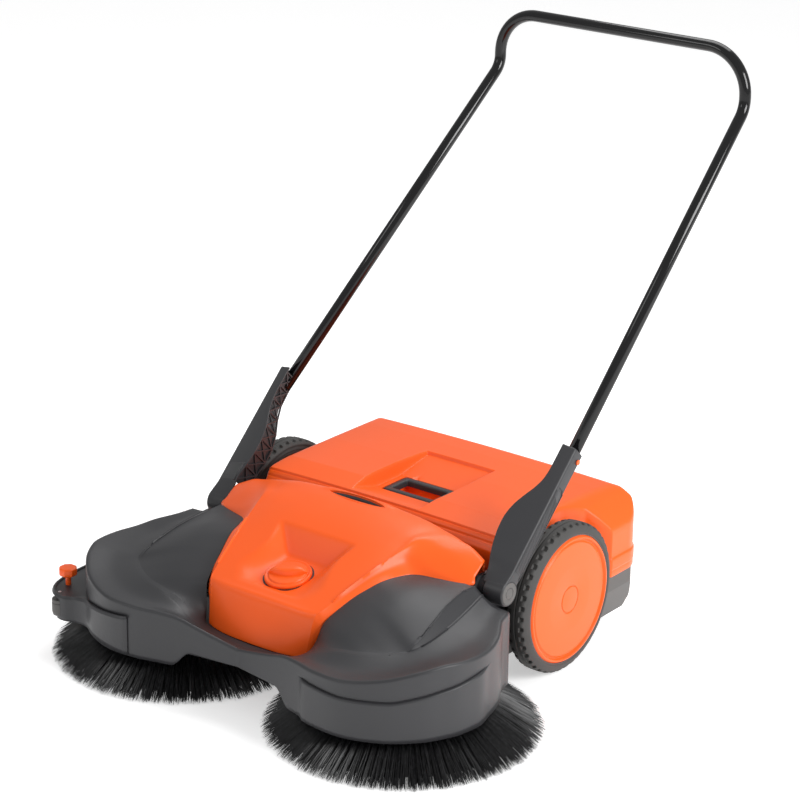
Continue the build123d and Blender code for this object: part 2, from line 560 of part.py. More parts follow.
def handle_arm():
    outer = slab_x([arm_point(s, n) for s, n in
                    [(0, ARM_FRONT + 3), (30, ARM_FRONT), (ARM_LENGTH, ARM_FRONT),
                     (ARM_LENGTH, ARM_BACK), (20, ARM_BACK), (0, -CAP_R + 2)]], ARM_X)
    outer += rod_x(CAP_R, (PLATE_X[1] + 12, ARM_X[1]), PIVOT_Y, PIVOT_Z)

    def face_vertex(s, width, depth):
        y, z = arm_point(s, ARM_FRONT + FACE_SLOPE * width - depth)
        return (ARM_X[1] - width, y, z)

    def strip(s0, w0, s1, w1):
        """One straight stretch of the slanted front wall."""
        sections = []
        for s, width in ((s0, w0), (s1, w1)):
            corners = [face_vertex(s, 0, 0), face_vertex(s, width, 0), face_vertex(s, width, 3.5),
                       face_vertex(s, 0, 3.5)]
            sections.append(make_face(Polyline(*corners, close=True)))
        return loft(sections, ruled=True)

    arm = outer
    for (s1, w1), (s0, w0) in zip(FACE_WIDTHS, FACE_WIDTHS[1:]):
        arm += strip(s0, w0, s1, w1)
    for s, width in [(34, 46), (62, 53), (92, 57), (122, 57), (152, 50), (182, 30), (200, 26)]:
        rib_section = [(0, ARM_BACK + 1), (0, ARM_FRONT), (width, ARM_FRONT + FACE_SLOPE * width - 1)]
        corners = []
        for across, n in rib_section:
            y, z = arm_point(s, n)
            corners.append((ARM_X[1] - across, y, z))
        along = Vector(0, math.sin(LEAN), math.cos(LEAN))
        arm += extrude(make_face(Polyline(*corners, close=True)), amount=2.5, dir=along)
    arm -= rod_x(PIVOT_R + 0.06, (280, 323), PIVOT_Y, PIVOT_Z)
    arm -= rod_x(CAP_R - 3, (ARM_X[1] - 3, ARM_X[1] + 1), PIVOT_Y, PIVOT_Z)
    pin_y, pin_z = tube_pin_place()
    arm -= rod_x(3.1, (300, 340), pin_y, pin_z)
    save_pair("handle_arm", arm.solids().sort_by(SortBy.VOLUME)[-1])
    cap = rod_x(CAP_R - 3.2, (ARM_X[1] - 2.8, ARM_X[1] + 0.8), PIVOT_Y, PIVOT_Z)
    save_pair("pivot_cap", cap)


def tube_pin_place():
    """(y, z) of the pin that holds the tube in an arm, on the tube's axis."""
    start = Vector(*TUBE_FOOT)
    bend = Vector(TUBE_END_X, TUBE_REAR_Y, TUBE_BEND_Z)
    place = start + (bend - start) * 0.022
    return (place.Y, place.Z)


def handle_tube():
    x, y, z = TUBE_FOOT
    corner = (TUBE_END_X, TUBE_REAR_Y, TUBE_TOP_Z)
    route = [(x, y, z), (TUBE_END_X, TUBE_REAR_Y, TUBE_BEND_Z), corner]
    route += [(-px, py, pz) for px, py, pz in reversed(route)]
    path = FilletPolyline(*route, radius=[42, 82, 82, 42])
    start = Plane(origin=path @ 0, z_dir=path % 0)
    ring = start * (Circle(TUBE_R) - Circle(TUBE_R - TUBE_WALL))
    tube = sweep(ring, path=path)
    pin_y, pin_z = tube_pin_place()
    for side in (-1, 1):
        reach = (side * 295, side * 335)
        tube -= rod_x(3.1, (min(reach), max(reach)), pin_y, pin_z)
    save("handle_tube", tube)
    pins = []
    for side in (-1, 1):
        reach = sorted((side * 304, side * (ARM_X[1] + 0.4)))
        head = sorted((side * (ARM_X[1] + 0.4), side * (ARM_X[1] + 2.4)))
        pins.append(rod_x(3.0, reach, pin_y, pin_z) + rod_x(4.5, head, pin_y, pin_z))
    save("tube_pins", Compound(children=pins))


brush()
wheel()
belt()
side_plate()
deck()
shroud()
front_cover()
height_knob()
hold_down()
hopper_lid()
hopper_tub()
handle_arm()
handle_tube()
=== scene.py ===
import math
import random

import bpy
import numpy as np
from mathutils import Matrix, Vector


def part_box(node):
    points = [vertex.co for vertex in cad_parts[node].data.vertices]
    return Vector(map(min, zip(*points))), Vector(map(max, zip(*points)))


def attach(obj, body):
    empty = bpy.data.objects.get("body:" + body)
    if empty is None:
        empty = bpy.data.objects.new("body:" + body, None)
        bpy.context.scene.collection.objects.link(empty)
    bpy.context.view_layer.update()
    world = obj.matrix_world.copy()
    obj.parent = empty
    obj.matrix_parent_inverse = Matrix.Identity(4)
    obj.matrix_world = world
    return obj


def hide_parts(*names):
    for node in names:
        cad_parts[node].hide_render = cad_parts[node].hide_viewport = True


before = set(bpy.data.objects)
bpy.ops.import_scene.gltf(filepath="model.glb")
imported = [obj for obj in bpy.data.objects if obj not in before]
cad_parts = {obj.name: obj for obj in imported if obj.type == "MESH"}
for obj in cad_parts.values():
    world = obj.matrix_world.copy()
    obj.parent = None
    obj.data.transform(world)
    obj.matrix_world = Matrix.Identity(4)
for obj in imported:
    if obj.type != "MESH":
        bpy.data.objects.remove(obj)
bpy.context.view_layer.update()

# Walk-behind sweeper: moulded shells, tyres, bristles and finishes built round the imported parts.
# Lengths in the tables and functions below are millimetres; MM turns them into scene metres.
MM = 0.001
SIDES = {"right": 1, "left": -1}


def node_box(node):
    """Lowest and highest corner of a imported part, in millimetres."""
    low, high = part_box(node)
    return np.array(low) / MM, np.array(high) / MM


def middle(node):
    low, high = node_box(node)
    return (low + high) / 2


WHEEL = middle("wheel_disc_right")          # its y and z are the wheel axis
WHEEL_R = node_box("tyre_right")[1][2] - WHEEL[2]
WHEEL_X = (node_box("tyre_right")[0][0], node_box("wheel_disc_right")[1][0])
BRUSH = middle("brush_plate_right")
TIP_R = (node_box("bristles_right")[1][0] - node_box("bristles_right")[0][0]) / 2
PIVOT = middle("pivot_cap_right")
KNOB_SEAT = np.array([0.0, -370.0, 206.8])
KNOB_TILT = math.radians(12)
FINGER_BAR_TURN = math.radians(26.0)        # the bar's place on the dial
ROLLER = middle("guide_roller")
PLUNGER = middle("plunger_stem")


# ---- shader sockets ---------------------------------------------------------------------------
class Value:
    """A number that varies over a surface; Python arithmetic on it adds Math nodes."""

    def __init__(self, finish, socket):
        self.finish = finish
        self.socket = socket

    def _math(self, operation, *others):
        return self.finish.node("ShaderNodeMath", {"operation": operation, "use_clamp": False},
                                dict(enumerate(others)))

    def __add__(self, other):
        return self._math("ADD", self, other)

    def __radd__(self, other):
        return self._math("ADD", other, self)

    def __sub__(self, other):
        return self._math("SUBTRACT", self, other)

    def __rsub__(self, other):
        return self._math("SUBTRACT", other, self)

    def __mul__(self, other):
        return self._math("MULTIPLY", self, other)

    def __rmul__(self, other):
        return self._math("MULTIPLY", other, self)


class Finish:
    """One material and its nodes."""

    def __init__(self, name):
        self.material = bpy.data.materials.new(name)
        self.material.use_nodes = True
        self.tree = self.material.node_tree
        self.shader = self.tree.nodes["Principled BSDF"]
        self.place = self.node("ShaderNodeTexCoord", {}, {}, "Object")

    def put(self, node, key, value):
        socket = node.inputs[key]
        if isinstance(value, Value):
            self.tree.links.new(value.socket, socket)
        else:
            socket.default_value = value

    def node(self, kind, settings, inputs, output=0):
        """Add a node: its settings first, then its socket values or links."""
        made = self.tree.nodes.new(kind)
        for key, value in settings.items():
            if key == "stops":
                ramp = made.color_ramp.elements
                while len(ramp) < len(value):
                    ramp.new(0.5)
                for element, (place, colour) in zip(ramp, value):
                    element.position = place
                    element.color = colour
            else:
                setattr(made, key, value)
        for key, value in inputs.items():
            self.put(made, key, value)
        return Value(self, made.outputs[output])

    def noise(self, scale, detail=3.0, rough=0.55, place=None):
        return self.node("ShaderNodeTexNoise", {}, {"Vector": place or self.place, "Scale": scale,
                                                    "Detail": detail, "Roughness": rough})

    def stretched(self, x, y, z):
        return self.node("ShaderNodeMapping", {}, {"Vector": self.place, "Scale": (x, y, z)})

    def between(self, factor, first, second):
        """A colour between two colours."""
        settings = {"data_type": "RGBA", "blend_type": "MIX"}
        return self.node("ShaderNodeMix", settings, {"Factor": factor, 6: first, 7: second}, 2)

    def bump(self, height, strength, distance):
        return self.node("ShaderNodeBump", {}, {"Height": height, "Strength": strength,
                                                "Distance": distance})

    def surface(self, **inputs):
        names = {"colour": "Base Color", "roughness": "Roughness", "metallic": "Metallic",
                 "coat": "Coat Weight", "coat_roughness": "Coat Roughness", "normal": "Normal",
                 "specular": "Specular IOR Level", "sheen": "Sheen Weight"}
        for key, value in inputs.items():
            self.put(self.shader, names[key], value)
        return self.material


def shade_of(colour, factor):
    return tuple(channel * factor for channel in colour[:3]) + (1.0,)


def moulded(name, colour, roughness, grain=0.00006, spread=0.08, coat=0.0, specular=0.45):
    """Injection-moulded plastic: faint flow clouding, fine eroded grain, small gloss changes."""
    finish = Finish(name)
    clouds = finish.noise(7.0, 4.0)
    grains = finish.noise(2600.0, 2.0)
    scuffs = finish.noise(90.0, 6.0, 0.7, finish.stretched(1.0, 0.35, 1.0))
    tint = finish.between(clouds, shade_of(colour, 1 - spread), shade_of(colour, 1 + spread))
    gloss = roughness - 0.05 + clouds * 0.06 + scuffs * 0.05
    height = grains * 0.7 + scuffs * 0.3
    return finish.surface(colour=tint, roughness=gloss, coat=coat, coat_roughness=0.2, specular=specular,
                          normal=finish.bump(height, 0.25, grain))


def powder_coat(name, colour):
    """Gloss coating on tube, with a slight orange-peel ripple."""
    finish = Finish(name)
    peel = finish.noise(420.0, 2.0)
    clouds = finish.noise(14.0, 3.0)
    tint = finish.between(clouds, shade_of(colour, 0.8), shade_of(colour, 1.3))
    return finish.surface(colour=tint, roughness=0.09 + peel * 0.05, coat=0.25, coat_roughness=0.05,
                          specular=0.3,
                          normal=finish.bump(peel, 0.12, 0.0002))


def tyre_compound(name, colour):
    """Dusty rubber: cloudy grey with a fine matt tooth."""
    finish = Finish(name)
    dust = finish.noise(22.0, 6.0, 0.65)
    tooth = finish.noise(1500.0, 3.0)
    tint = finish.between(dust, shade_of(colour, 0.75), shade_of(colour, 1.3))
    return finish.surface(colour=tint, roughness=0.6 + dust * 0.14,
                          normal=finish.bump(tooth * 0.6 + dust * 0.4, 0.3, 0.0002))


def bristle_fibre(name, colour):
    """Black filament with painted glints, a painted highlight that changes from strand to strand."""
    finish = Finish(name)
    strands = finish.noise(160.0, 2.0, 0.5)
    fine = finish.noise(1900.0, 2.0)
    # painted highlight: the glint ramp mixes much paler strands into the black fibre colour
    painted_glint = finish.node("ShaderNodeValToRGB", {"stops": [(0.48, (0, 0, 0, 1)), (0.68, (1, 1, 1, 1))]},
                        {"Fac": strands * 0.5 + fine * 0.5})
    tint = finish.between(painted_glint, colour, shade_of(colour, 5.0))
    return finish.surface(colour=tint, roughness=0.34 + strands * 0.16,
                          normal=finish.bump(fine, 0.2, 0.0002))


def turned_metal(name, colour, roughness):
    """Zinc-plated or sintered metal with fine turning marks."""
    finish = Finish(name)
    marks = finish.noise(700.0, 3.0, 0.6, finish.stretched(4.0, 0.3, 0.3))
    patina = finish.noise(30.0, 4.0)
    tint = finish.between(patina, shade_of(colour, 0.8), shade_of(colour, 1.1))
    return finish.surface(colour=tint, roughness=roughness + marks * 0.15, metallic=1.0,
                          normal=finish.bump(marks, 0.2, 0.0001))


def studio_floor(name):
    finish = Finish(name)
    clouds = finish.noise(0.8, 3.0)
    fine = finish.noise(60.0, 3.0)
    tint = finish.between(clouds, (0.93, 0.93, 0.93, 1), (0.97, 0.97, 0.97, 1))
    finish.put(finish.shader, "Emission Strength", FLOOR_GLOW)
    finish.put(finish.shader, "Emission Color", (1, 1, 1, 1))
    return finish.surface(colour=tint, roughness=0.55 + clouds * 0.1, specular=0.2,
                          normal=finish.bump(fine, 0.05, 0.0005))


FLOOR_GLOW = 0.48
ORANGE = (1.0, 0.118, 0.009, 1)
FINISHES = {
    "orange_plastic": moulded("orange shell plastic", ORANGE, 0.36, spread=0.04, coat=0.05, specular=0.35),
    "dark_plastic": moulded("charcoal shell plastic", (0.032, 0.032, 0.035, 1), 0.42, 0.00009),
    "grey_plastic": moulded("mid grey plastic", (0.098, 0.093, 0.089, 1), 0.5, 0.00005, 0.04),
    "pulley_plastic": moulded("black pulley nylon", (0.03, 0.03, 0.032, 1), 0.4),
    "black_tube": powder_coat("gloss black tube coat", (0.0045, 0.0045, 0.005, 1)),
    "tyre_rubber": tyre_compound("tyre rubber", (0.052, 0.050, 0.048, 1)),
    "belt_rubber": tyre_compound("belt rubber", (0.03, 0.03, 0.03, 1)),
    "bristle": bristle_fibre("bristle fibre", (0.0062, 0.0062, 0.0068, 1)),
    "steel": turned_metal("plated steel", (0.62, 0.62, 0.64, 1), 0.3),
    "bearing_metal": turned_metal("bearing metal", (0.45, 0.41, 0.36, 1), 0.35),
}


# ---- mesh helpers -----------------------------------------------------------------------------
def piece(name, points, faces, body, slot, replaced=(), angle=35.0):
    """Make a mesh piece from millimetre points, finish it and hang it on its body."""
    mesh = bpy.data.meshes.new(name)
    mesh.from_pydata([tuple(p) for p in np.asarray(points, float) * MM], [], faces)
    mesh.validate()
    made = bpy.data.objects.new(name, mesh)
    bpy.context.scene.collection.objects.link(made)
    mesh.materials.append(FINISHES[slot])
    for polygon in mesh.polygons:
        polygon.use_smooth = True
    mesh.set_sharp_from_angle(angle=math.radians(angle))
    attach(made, body)
    if replaced:
        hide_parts(*replaced)
    return made


def modified(made, kind, **settings):
    """Apply one modifier to a piece's mesh."""
    modifier = made.modifiers.new(kind.lower(), kind)
    for key, value in settings.items():
        setattr(modifier, key, value)
    bpy.context.view_layer.update()
    evaluated = made.evaluated_get(bpy.context.evaluated_depsgraph_get())
    mesh = bpy.data.meshes.new_from_object(evaluated)
    old = made.data
    made.modifiers.clear()
    made.data = mesh
    bpy.data.meshes.remove(old)
    return made


def smoothly(points, counts):
    """Points along a Catmull-Rom curve through the given ones; counts are steps per span."""
    points = np.asarray(points, float)
    spans = len(points) - 1
    counts = [counts] * spans if isinstance(counts, int) else counts
    ends = np.concatenate([[2 * points[0] - points[1]], points, [2 * points[-1] - points[-2]]])
    made = []
    for i in range(spans):
        a, b, c, d = ends[i:i + 4]
        for t in np.arange(counts[i]) / counts[i]:
            made.append(0.5 * (2 * b + (c - a) * t + (2 * a - 5 * b + 4 * c - d) * t ** 2
                               + (3 * b - a - 3 * c + d) * t ** 3))
    made.append(points[-1])
    return np.array(made)


def net(rows, along, across):
    """A smooth grid through a small net of points: rows of equal length."""
    rows = np.asarray(rows, float)
    run = smoothly(rows, along)
    return smoothly(run.swapaxes(0, 1), across).swapaxes(0, 1)


def grid_faces(rows, columns, wrap_rows=False, wrap_columns=False, start=0):
    faces = []
    for i in range(rows if wrap_rows else rows - 1):
        for j in range(columns if wrap_columns else columns - 1):
            a = i * columns + j
            b = i * columns + (j + 1) % columns
            c = (i + 1) % rows * columns + (j + 1) % columns
            d = (i + 1) % rows * columns + j
            faces.append((start + a, start + b, start + c, start + d))
    return faces


class Build:
    """Collects several surfaces into one mesh."""

    def __init__(self):
        self.points = []
        self.faces = []

    def grid(self, points, wrap_rows=False, wrap_columns=False, flip=False):
        points = np.asarray(points, float)
        rows, columns = points.shape[:2]
        made = grid_faces(rows, columns, wrap_rows, wrap_columns, len(self.points))
        self.faces += [face[::-1] for face in made] if flip else made
        self.points += [tuple(p) for p in points.reshape(-1, 3)]

    def fan(self, ring, flip=False):
        """Close a ring of points with one flat face."""
        face = tuple(range(len(self.points), len(self.points) + len(ring)))
        self.faces.append(face[::-1] if flip else face)
        self.points += [tuple(p) for p in ring]

    def block(self, corners):
        """A six-sided block from its lower four and upper four corners."""
        s = len(self.points)
        self.points += [tuple(p) for p in corners]
        for face in [(3, 2, 1, 0), (4, 5, 6, 7), (0, 1, 5, 4), (1, 2, 6, 5), (2, 3, 7, 6), (3, 0, 4, 7)]:
            self.faces.append(tuple(s + k for k in face))

    def turned(self, profile, centre, axis="z", steps=96, wobble=None):
        """A closed solid of revolution; the profile is (along, radius) points."""
        rings = []
        for along, radius in profile:
            ring = []
            for k in range(steps):
                a = 2 * math.pi * k / steps
                r = radius + (wobble(a, along, radius) if wobble else 0.0)
                if axis == "x":
                    ring.append((centre[0] + along, centre[1] + r * math.cos(a),
                                 centre[2] + r * math.sin(a)))
                else:
                    ring.append((centre[0] + r * math.cos(a), centre[1] + r * math.sin(a),
                                 centre[2] + along))
            rings.append(ring)
        self.grid(rings, wrap_columns=True)

    def mirrored(self):
        """The same surfaces on the other side of the machine."""
        other = Build()
        other.points = [(-x, y, z) for x, y, z in self.points]
        other.faces = [face[::-1] for face in self.faces]
        return other

    def sided(self, side):
        """The surfaces as they are for the right side, or mirrored for the left."""
        return self.mirrored() if side == "left" else self

    def piece(self, name, body, slot, replaced=(), angle=35.0):
        made = piece(name, self.points, self.faces, body, slot, replaced, angle)
        modified(made, "WELD", merge_threshold=0.00001)
        return made


def cut_through(made, rings, body, slot, side="right"):
    """Cut an outline, given at a lower and an upper level, right through a piece."""
    cutter = Build()
    cutter.grid(rings, wrap_columns=True)
    cutter.fan(rings[0])
    cutter.fan(rings[1], flip=True)
    tool = cutter.sided(side).piece("cutter", body, slot)
    modified(made, "BOOLEAN", object=tool, operation="DIFFERENCE", solver="EXACT")
    bpy.data.objects.remove(tool)


def square_to(way, turn):
    """Unit vectors square to a run of plan directions: to their left (1) or right (-1)."""
    out = np.stack([-way[:, 1], way[:, 0]], axis=1) * turn
    return out / np.maximum(np.linalg.norm(out, axis=1)[:, None], 1e-9)


def rounded(points, radius, steps=4, closed=False):
    """A section with its corners rounded; radius is one number or one for each point."""
    points = [np.array(p, float) for p in points]
    radii = [radius] * len(points) if isinstance(radius, (int, float)) else radius
    made = []
    for i, corner in enumerate(points):
        if not closed and i in (0, len(points) - 1) or radii[i] == 0:
            made.append(tuple(corner))
            continue
        before = points[i - 1] - corner
        after = points[(i + 1) % len(points)] - corner
        reach = min(radii[i], np.linalg.norm(before) * 0.49, np.linalg.norm(after) * 0.49)
        a = corner + before / np.linalg.norm(before) * reach
        b = corner + after / np.linalg.norm(after) * reach
        for t in np.linspace(0, 1, steps + 1):
            made.append(tuple((1 - t) ** 2 * a + 2 * t * (1 - t) * corner + t ** 2 * b))
    return made


def soft_min(a, b, radius):
    """The lower of two heights with a rounded change-over."""
    h = np.clip(0.5 + 0.5 * (b - a) / radius, 0, 1)
    return b * (1 - h) + a * h - radius * h * (1 - h)


def soft_max(a, b, radius):
    return -soft_min(-a, -b, radius)


def ramp(x, low, high):
    t = np.clip((x - low) / (high - low), 0, 1)
    return t * t * (3 - 2 * t)


def both_halves(rows):
    """Rows that run from the middle outwards, made whole with their mirror image."""
    rows = np.asarray(rows, float)
    other = rows[:, :0:-1] * np.array([-1, 1, 1])
    return np.concatenate([other, rows], axis=1)


def interpolate(x, table):
    return np.interp(x, [p[0] for p in table], [p[1] for p in table])


# ---- front cover ------------------------------------------------------------------------------
# Half rows from the rear arch to the foot of the nose; the fourth point runs along the side ridge.
COVER_ROWS = [
    [(0, -168, 285), (70, -168, 284), (140, -169, 279), (200, -171, 268), (245, -174, 259),
     (274, -180, 247)],
    [(0, -174, 290), (70, -174, 289), (140, -175, 284), (200, -177, 273), (245, -182, 262),
     (277, -190, 246)],
    [(0, -204, 289), (70, -204, 288), (140, -204, 283), (187, -205, 275), (240, -208, 253),
     (278, -212, 231)],
    [(0, -233, 283), (70, -233, 282), (130, -233, 279), (170, -233, 275.5), (214, -240, 241),
     (277, -228, 219)],
    [(0, -262, 273.5), (70, -262, 273), (125, -262, 270), (163, -262, 265.5), (177, -262, 245),
     (200, -262, 226)],
    [(0, -291, 261), (70, -291, 261), (118, -291, 259), (155.5, -291, 255), (165, -291, 241),
     (180, -291, 229)],
    [(0, -330, 243.5), (65, -330, 243), (110, -330, 242), (146, -330, 240.5), (154, -330, 232),
     (167, -328, 227)],
    [(0, -374, 223.5), (60, -374, 223), (103, -374, 222.5), (134.8, -374, 222), (140, -374, 216.5),
     (149, -374, 212)],
    [(0, -408, 207.5), (58, -408, 207.3), (98, -408, 207), (126.4, -408, 206.5), (131.5, -408, 201.5),
     (138, -407, 196)],
    [(0, -431, 197.5), (57, -431, 197.3), (94, -430.5, 197), (120.5, -430, 196), (124.5, -429, 190),
     (129, -427, 180)],
    [(0, -440, 195), (57, -440, 194.5), (92, -439, 193.5), (117, -436, 192), (121.5, -434, 186),
     (126, -432, 172)],
    [(0, -446, 188), (57, -445.5, 188), (91, -444, 187), (115.5, -440, 185), (120, -437, 178),
     (124, -435, 164)],
    [(0, -451, 172), (57, -450, 172), (89, -448, 171), (112, -443.5, 169), (117, -440, 163),
     (120, -438, 150)],
    [(0, -469, 117), (55, -467, 117), (86, -461, 117), (107, -453, 117), (111, -450, 117),
     (113, -447, 117)],
]
SEAT_FLOOR_SLOPE = math.tan(KNOB_TILT)
SHELL = 2.6
GRIP = {"y": -185.0, "half": 62.0, "depth": 8.5}


def seat_height(x, y):
    """The pocket round the turning knob: flat floor, steep rear wall, sloped cheeks."""
    floor = KNOB_SEAT[2] - 0.6 + (y - KNOB_SEAT[1]) * SEAT_FLOOR_SLOPE
    rear = 216.5 + (y + 321.0) * 1.5
    cheeks = floor + (np.abs(x) - 45.0) * (0.32 + ramp(y, -400, -320) * 0.7)
    front = floor - (y + 412.0) * 0.6
    return soft_max(soft_max(soft_max(floor, rear, 5.0), cheeks, 7.0), front, 5.0)


def lens(width, depth, steps=24):
    """A leaf-shaped outline with pointed ends: (x, y) points."""
    outline = []
    for k in range(2 * steps):
        a = math.pi * k / steps
        outline.append((width * math.cos(a), depth * math.copysign(abs(math.sin(a)) ** 1.6, math.sin(a))))
    return outline


def creased(rows, column, reaches):
    """Rows with two more points beside one column: the shorter the reach, the sharper the fold."""
    made = []
    for row, reach in zip(np.asarray(rows, float), reaches):
        fold = row[column]
        before = row[column - 1] - fold
        after = row[column + 1] - fold
        near = [fold + side * min(reach / np.linalg.norm(side), 0.45) for side in (before, after)]
        made.append([*row[:column], near[0], fold, near[1], *row[column + 1:]])
    return np.array(made)


def cover_shell():
    fold = [22.0, 22.0, 20.0, 14.0, 7.0, 4.0] + [2.6] * (len(COVER_ROWS) - 6)
    surface = net(both_halves(creased(COVER_ROWS, 3, fold)), [3, 8, 8, 9, 10, 12, 13, 10, 7, 4, 4, 5, 10],
                  [8, 9, 3, 3, 10, 14, 18, 18, 14, 10, 3, 3, 9, 8])
    x, y, z = surface[..., 0], surface[..., 1], surface[..., 2]
    on_top = (y > -428) & (y < -250) & (np.abs(x) < 110)
    surface[..., 2] = np.where(on_top, soft_min(z, seat_height(x, y), 5.0), z)
    lift = 3.2 * np.exp(-((y + 176) / 7.0) ** 2) * ramp(92 - np.abs(x), 0, 40)
    surface[..., 2] += lift
    rear = np.array(surface[0])
    hem = [rear + (0, 0, -24), rear + (0, 0, -10)]
    skirt = surface[-1] + (0, 0, -1.5)
    sheet = np.concatenate([hem, surface, [skirt]])
    build = Build()
    build.grid(sheet, flip=True)
    made = build.piece("cover_shell", "chassis", "orange_plastic", ["front_cover"])
    modified(made, "SOLIDIFY", thickness=SHELL * MM, offset=-1.0)
    rings = [[(px, GRIP["y"] + py, level) for px, py in lens(GRIP["half"], GRIP["depth"])]
             for level in (240.0, 320.0)]
    cut_through(made, rings, "chassis", "orange_plastic")


def cover_top(x, y):
    """Height of the cover's rear hump."""
    return 289.5 - 0.00052 * x * x - max(0.0, -y - 200.0) * 0.12


def grip_rim():
    """Raised lip round the grip opening and the dark cup beneath it."""
    outline = lens(GRIP["half"], GRIP["depth"])
    lip = Build()
    rings = []
    for grow, rise in [(-0.6, -0.8), (-0.4, 0.6), (0.8, 1.6), (2.2, 1.9), (3.6, 1.2), (4.6, -1.4)]:
        rings.append([(px * (1 + grow / GRIP["half"]), GRIP["y"] + py * (1 + grow / GRIP["depth"]),
                       cover_top(px, GRIP["y"]) + rise) for px, py in outline])
    lip.grid(rings, wrap_columns=True, flip=True)
    made = lip.piece("grip_lip", "chassis", "orange_plastic", angle=60)
    modified(made, "SOLIDIFY", thickness=1.0 * MM, offset=-1.0)
    cup = Build()
    rings = []
    for inset, drop in [(0.7, 0.4), (0.7, 9.0), (1.2, 15.0), (2.4, 19.0), (4.5, 21.0)]:
        rings.append([(px * (1 - inset / GRIP["half"]), GRIP["y"] + py * (1 - inset / GRIP["depth"]),
                       cover_top(px, GRIP["y"]) - drop) for px, py in outline])
    cup.grid(rings, wrap_columns=True)
    cup.fan(rings[-1])
    made = cup.piece("grip_cup", "chassis", "dark_plastic", angle=60)
    modified(made, "SOLIDIFY", thickness=1.5 * MM, offset=-1.0)


def tilted(points):
    """Points laid out on the knob seat: x, along the slope, height above it."""
    c, s = math.cos(KNOB_TILT), math.sin(KNOB_TILT)
    return [(x, KNOB_SEAT[1] + y * c - h * s, KNOB_SEAT[2] + y * s + h * c) for x, y, h in points]


def knob_dial():
    """Dial with a stepped ring and a leaf-shaped finger bar."""
    build = Build()
    profile = rounded([(0.4, 0.01), (0.4, 41.2), (4.6, 41.2), (6.6, 39.0), (5.2, 35.5), (5.2, 34.0),
                       (7.6, 32.6), (7.6, 0.01)], 1.0, 3)
    build.turned(profile, (0, 0, 0), steps=120)
    stations = []
    c, s = math.cos(FINGER_BAR_TURN), math.sin(FINGER_BAR_TURN)
    for u in np.linspace(-1, 1, 41):
        half = 11.5 * (1 - abs(u) ** 2.0) + 0.15
        top = 7.4 + 11.0 * (1 - abs(u) ** 4)
        section = []
        for v in np.linspace(-1, 1, 17):
            along = u * 36.0
            across = half * math.copysign(abs(v) ** 0.7, v)
            section.append((along * c - across * s, along * s + across * c,
                            7.0 + (top - 7.0) * (1 - abs(v) ** 4)))
        stations.append(section)
    build.grid(stations)
    build.points = tilted(build.points)
    build.piece("knob_dial", "height_knob", "orange_plastic", ["height_knob"], angle=50)
    # A dark ring laid in the gap round the dial: painted shade of the gap, not a separate part.
    gap_shade = Build()
    gap_shade.turned([(-1.0, 41.6), (0.3, 41.6), (0.3, 44.2), (-1.0, 44.2)], (0, 0, 0), steps=96)
    gap_shade.points = tilted(gap_shade.points)
    gap_shade.piece("knob_gap_shade_ring", "chassis", "dark_plastic")


# ---- brush shroud -----------------------------------------------------------------------------
# Stations from the rear outer corner forward to the middle of the front sill (right half).
# Each is seam with the cover, crease top, crease foot, rim.
SHROUD_STATIONS = [
    [(277, -221, 219), (283, -221, 218), (300, -221, 205), (352, -222, 191)],
    [(262, -236, 222), (283, -246, 218), (304, -247, 201), (361, -254, 189)],
    [(225, -251, 225), (285, -278, 216), (309, -282, 196), (382, -289, 184)],
    [(192, -266, 228), (289, -312, 211), (311, -318, 189), (395, -324, 179)],
    [(177, -298, 230), (294, -345, 203), (312, -352, 184), (402.5, -366, 180)],
    [(167, -327, 228), (298, -378, 193), (310, -388, 179), (399, -410, 183)],
    [(157, -354, 220), (299, -408, 183), (304, -413, 176), (388, -442, 185)],
    [(148, -378, 211), (293, -426, 174.5), (296, -429, 173.5), (365, -480, 179)],
    [(138, -408, 196), (268, -447, 172), (274, -453, 171), (322, -518, 167)],
    [(131, -430, 182), (230, -466, 170), (235, -474, 168), (262, -541, 157)],
    [(127, -437, 169), (190, -472, 166), (194, -482, 164), (201, -540, 154)],
    [(123, -442, 152), (155, -474, 157), (158, -485, 154.5), (150, -527, 152)],
    [(117, -450, 134), (127, -477, 140), (127, -489, 141), (116, -518, 148)],
    [(108, -459, 119), (97, -478, 121), (95, -489, 125), (86, -512, 139)],
    [(60, -468, 116), (56, -478, 115.5), (54, -489, 117), (48, -506, 129)],
    [(0, -471, 115), (0, -480, 113), (0, -488, 112.5), (0, -499, 118)],
]
SKIRT = (233.5, -374.0)
SKIRT_FOOT = 58.0
BAND_PROUD = 5.2
BAND_TOP = [(-112, 131), (-83, 127), (-53, 129), (-28, 142), (-8, 150), (30, 160)]
EDGE_R = 5.0


def skirt_angle(x, y):
    return np.degrees(np.arctan2(y - SKIRT[1], np.abs(x) - SKIRT[0]))


def shroud_foot(x):
    """Lower edge of the shroud: deep round the brushes, raised in the middle."""
    return SKIRT_FOOT + 28.0 * ramp(-abs(x), -132.0, -96.0)


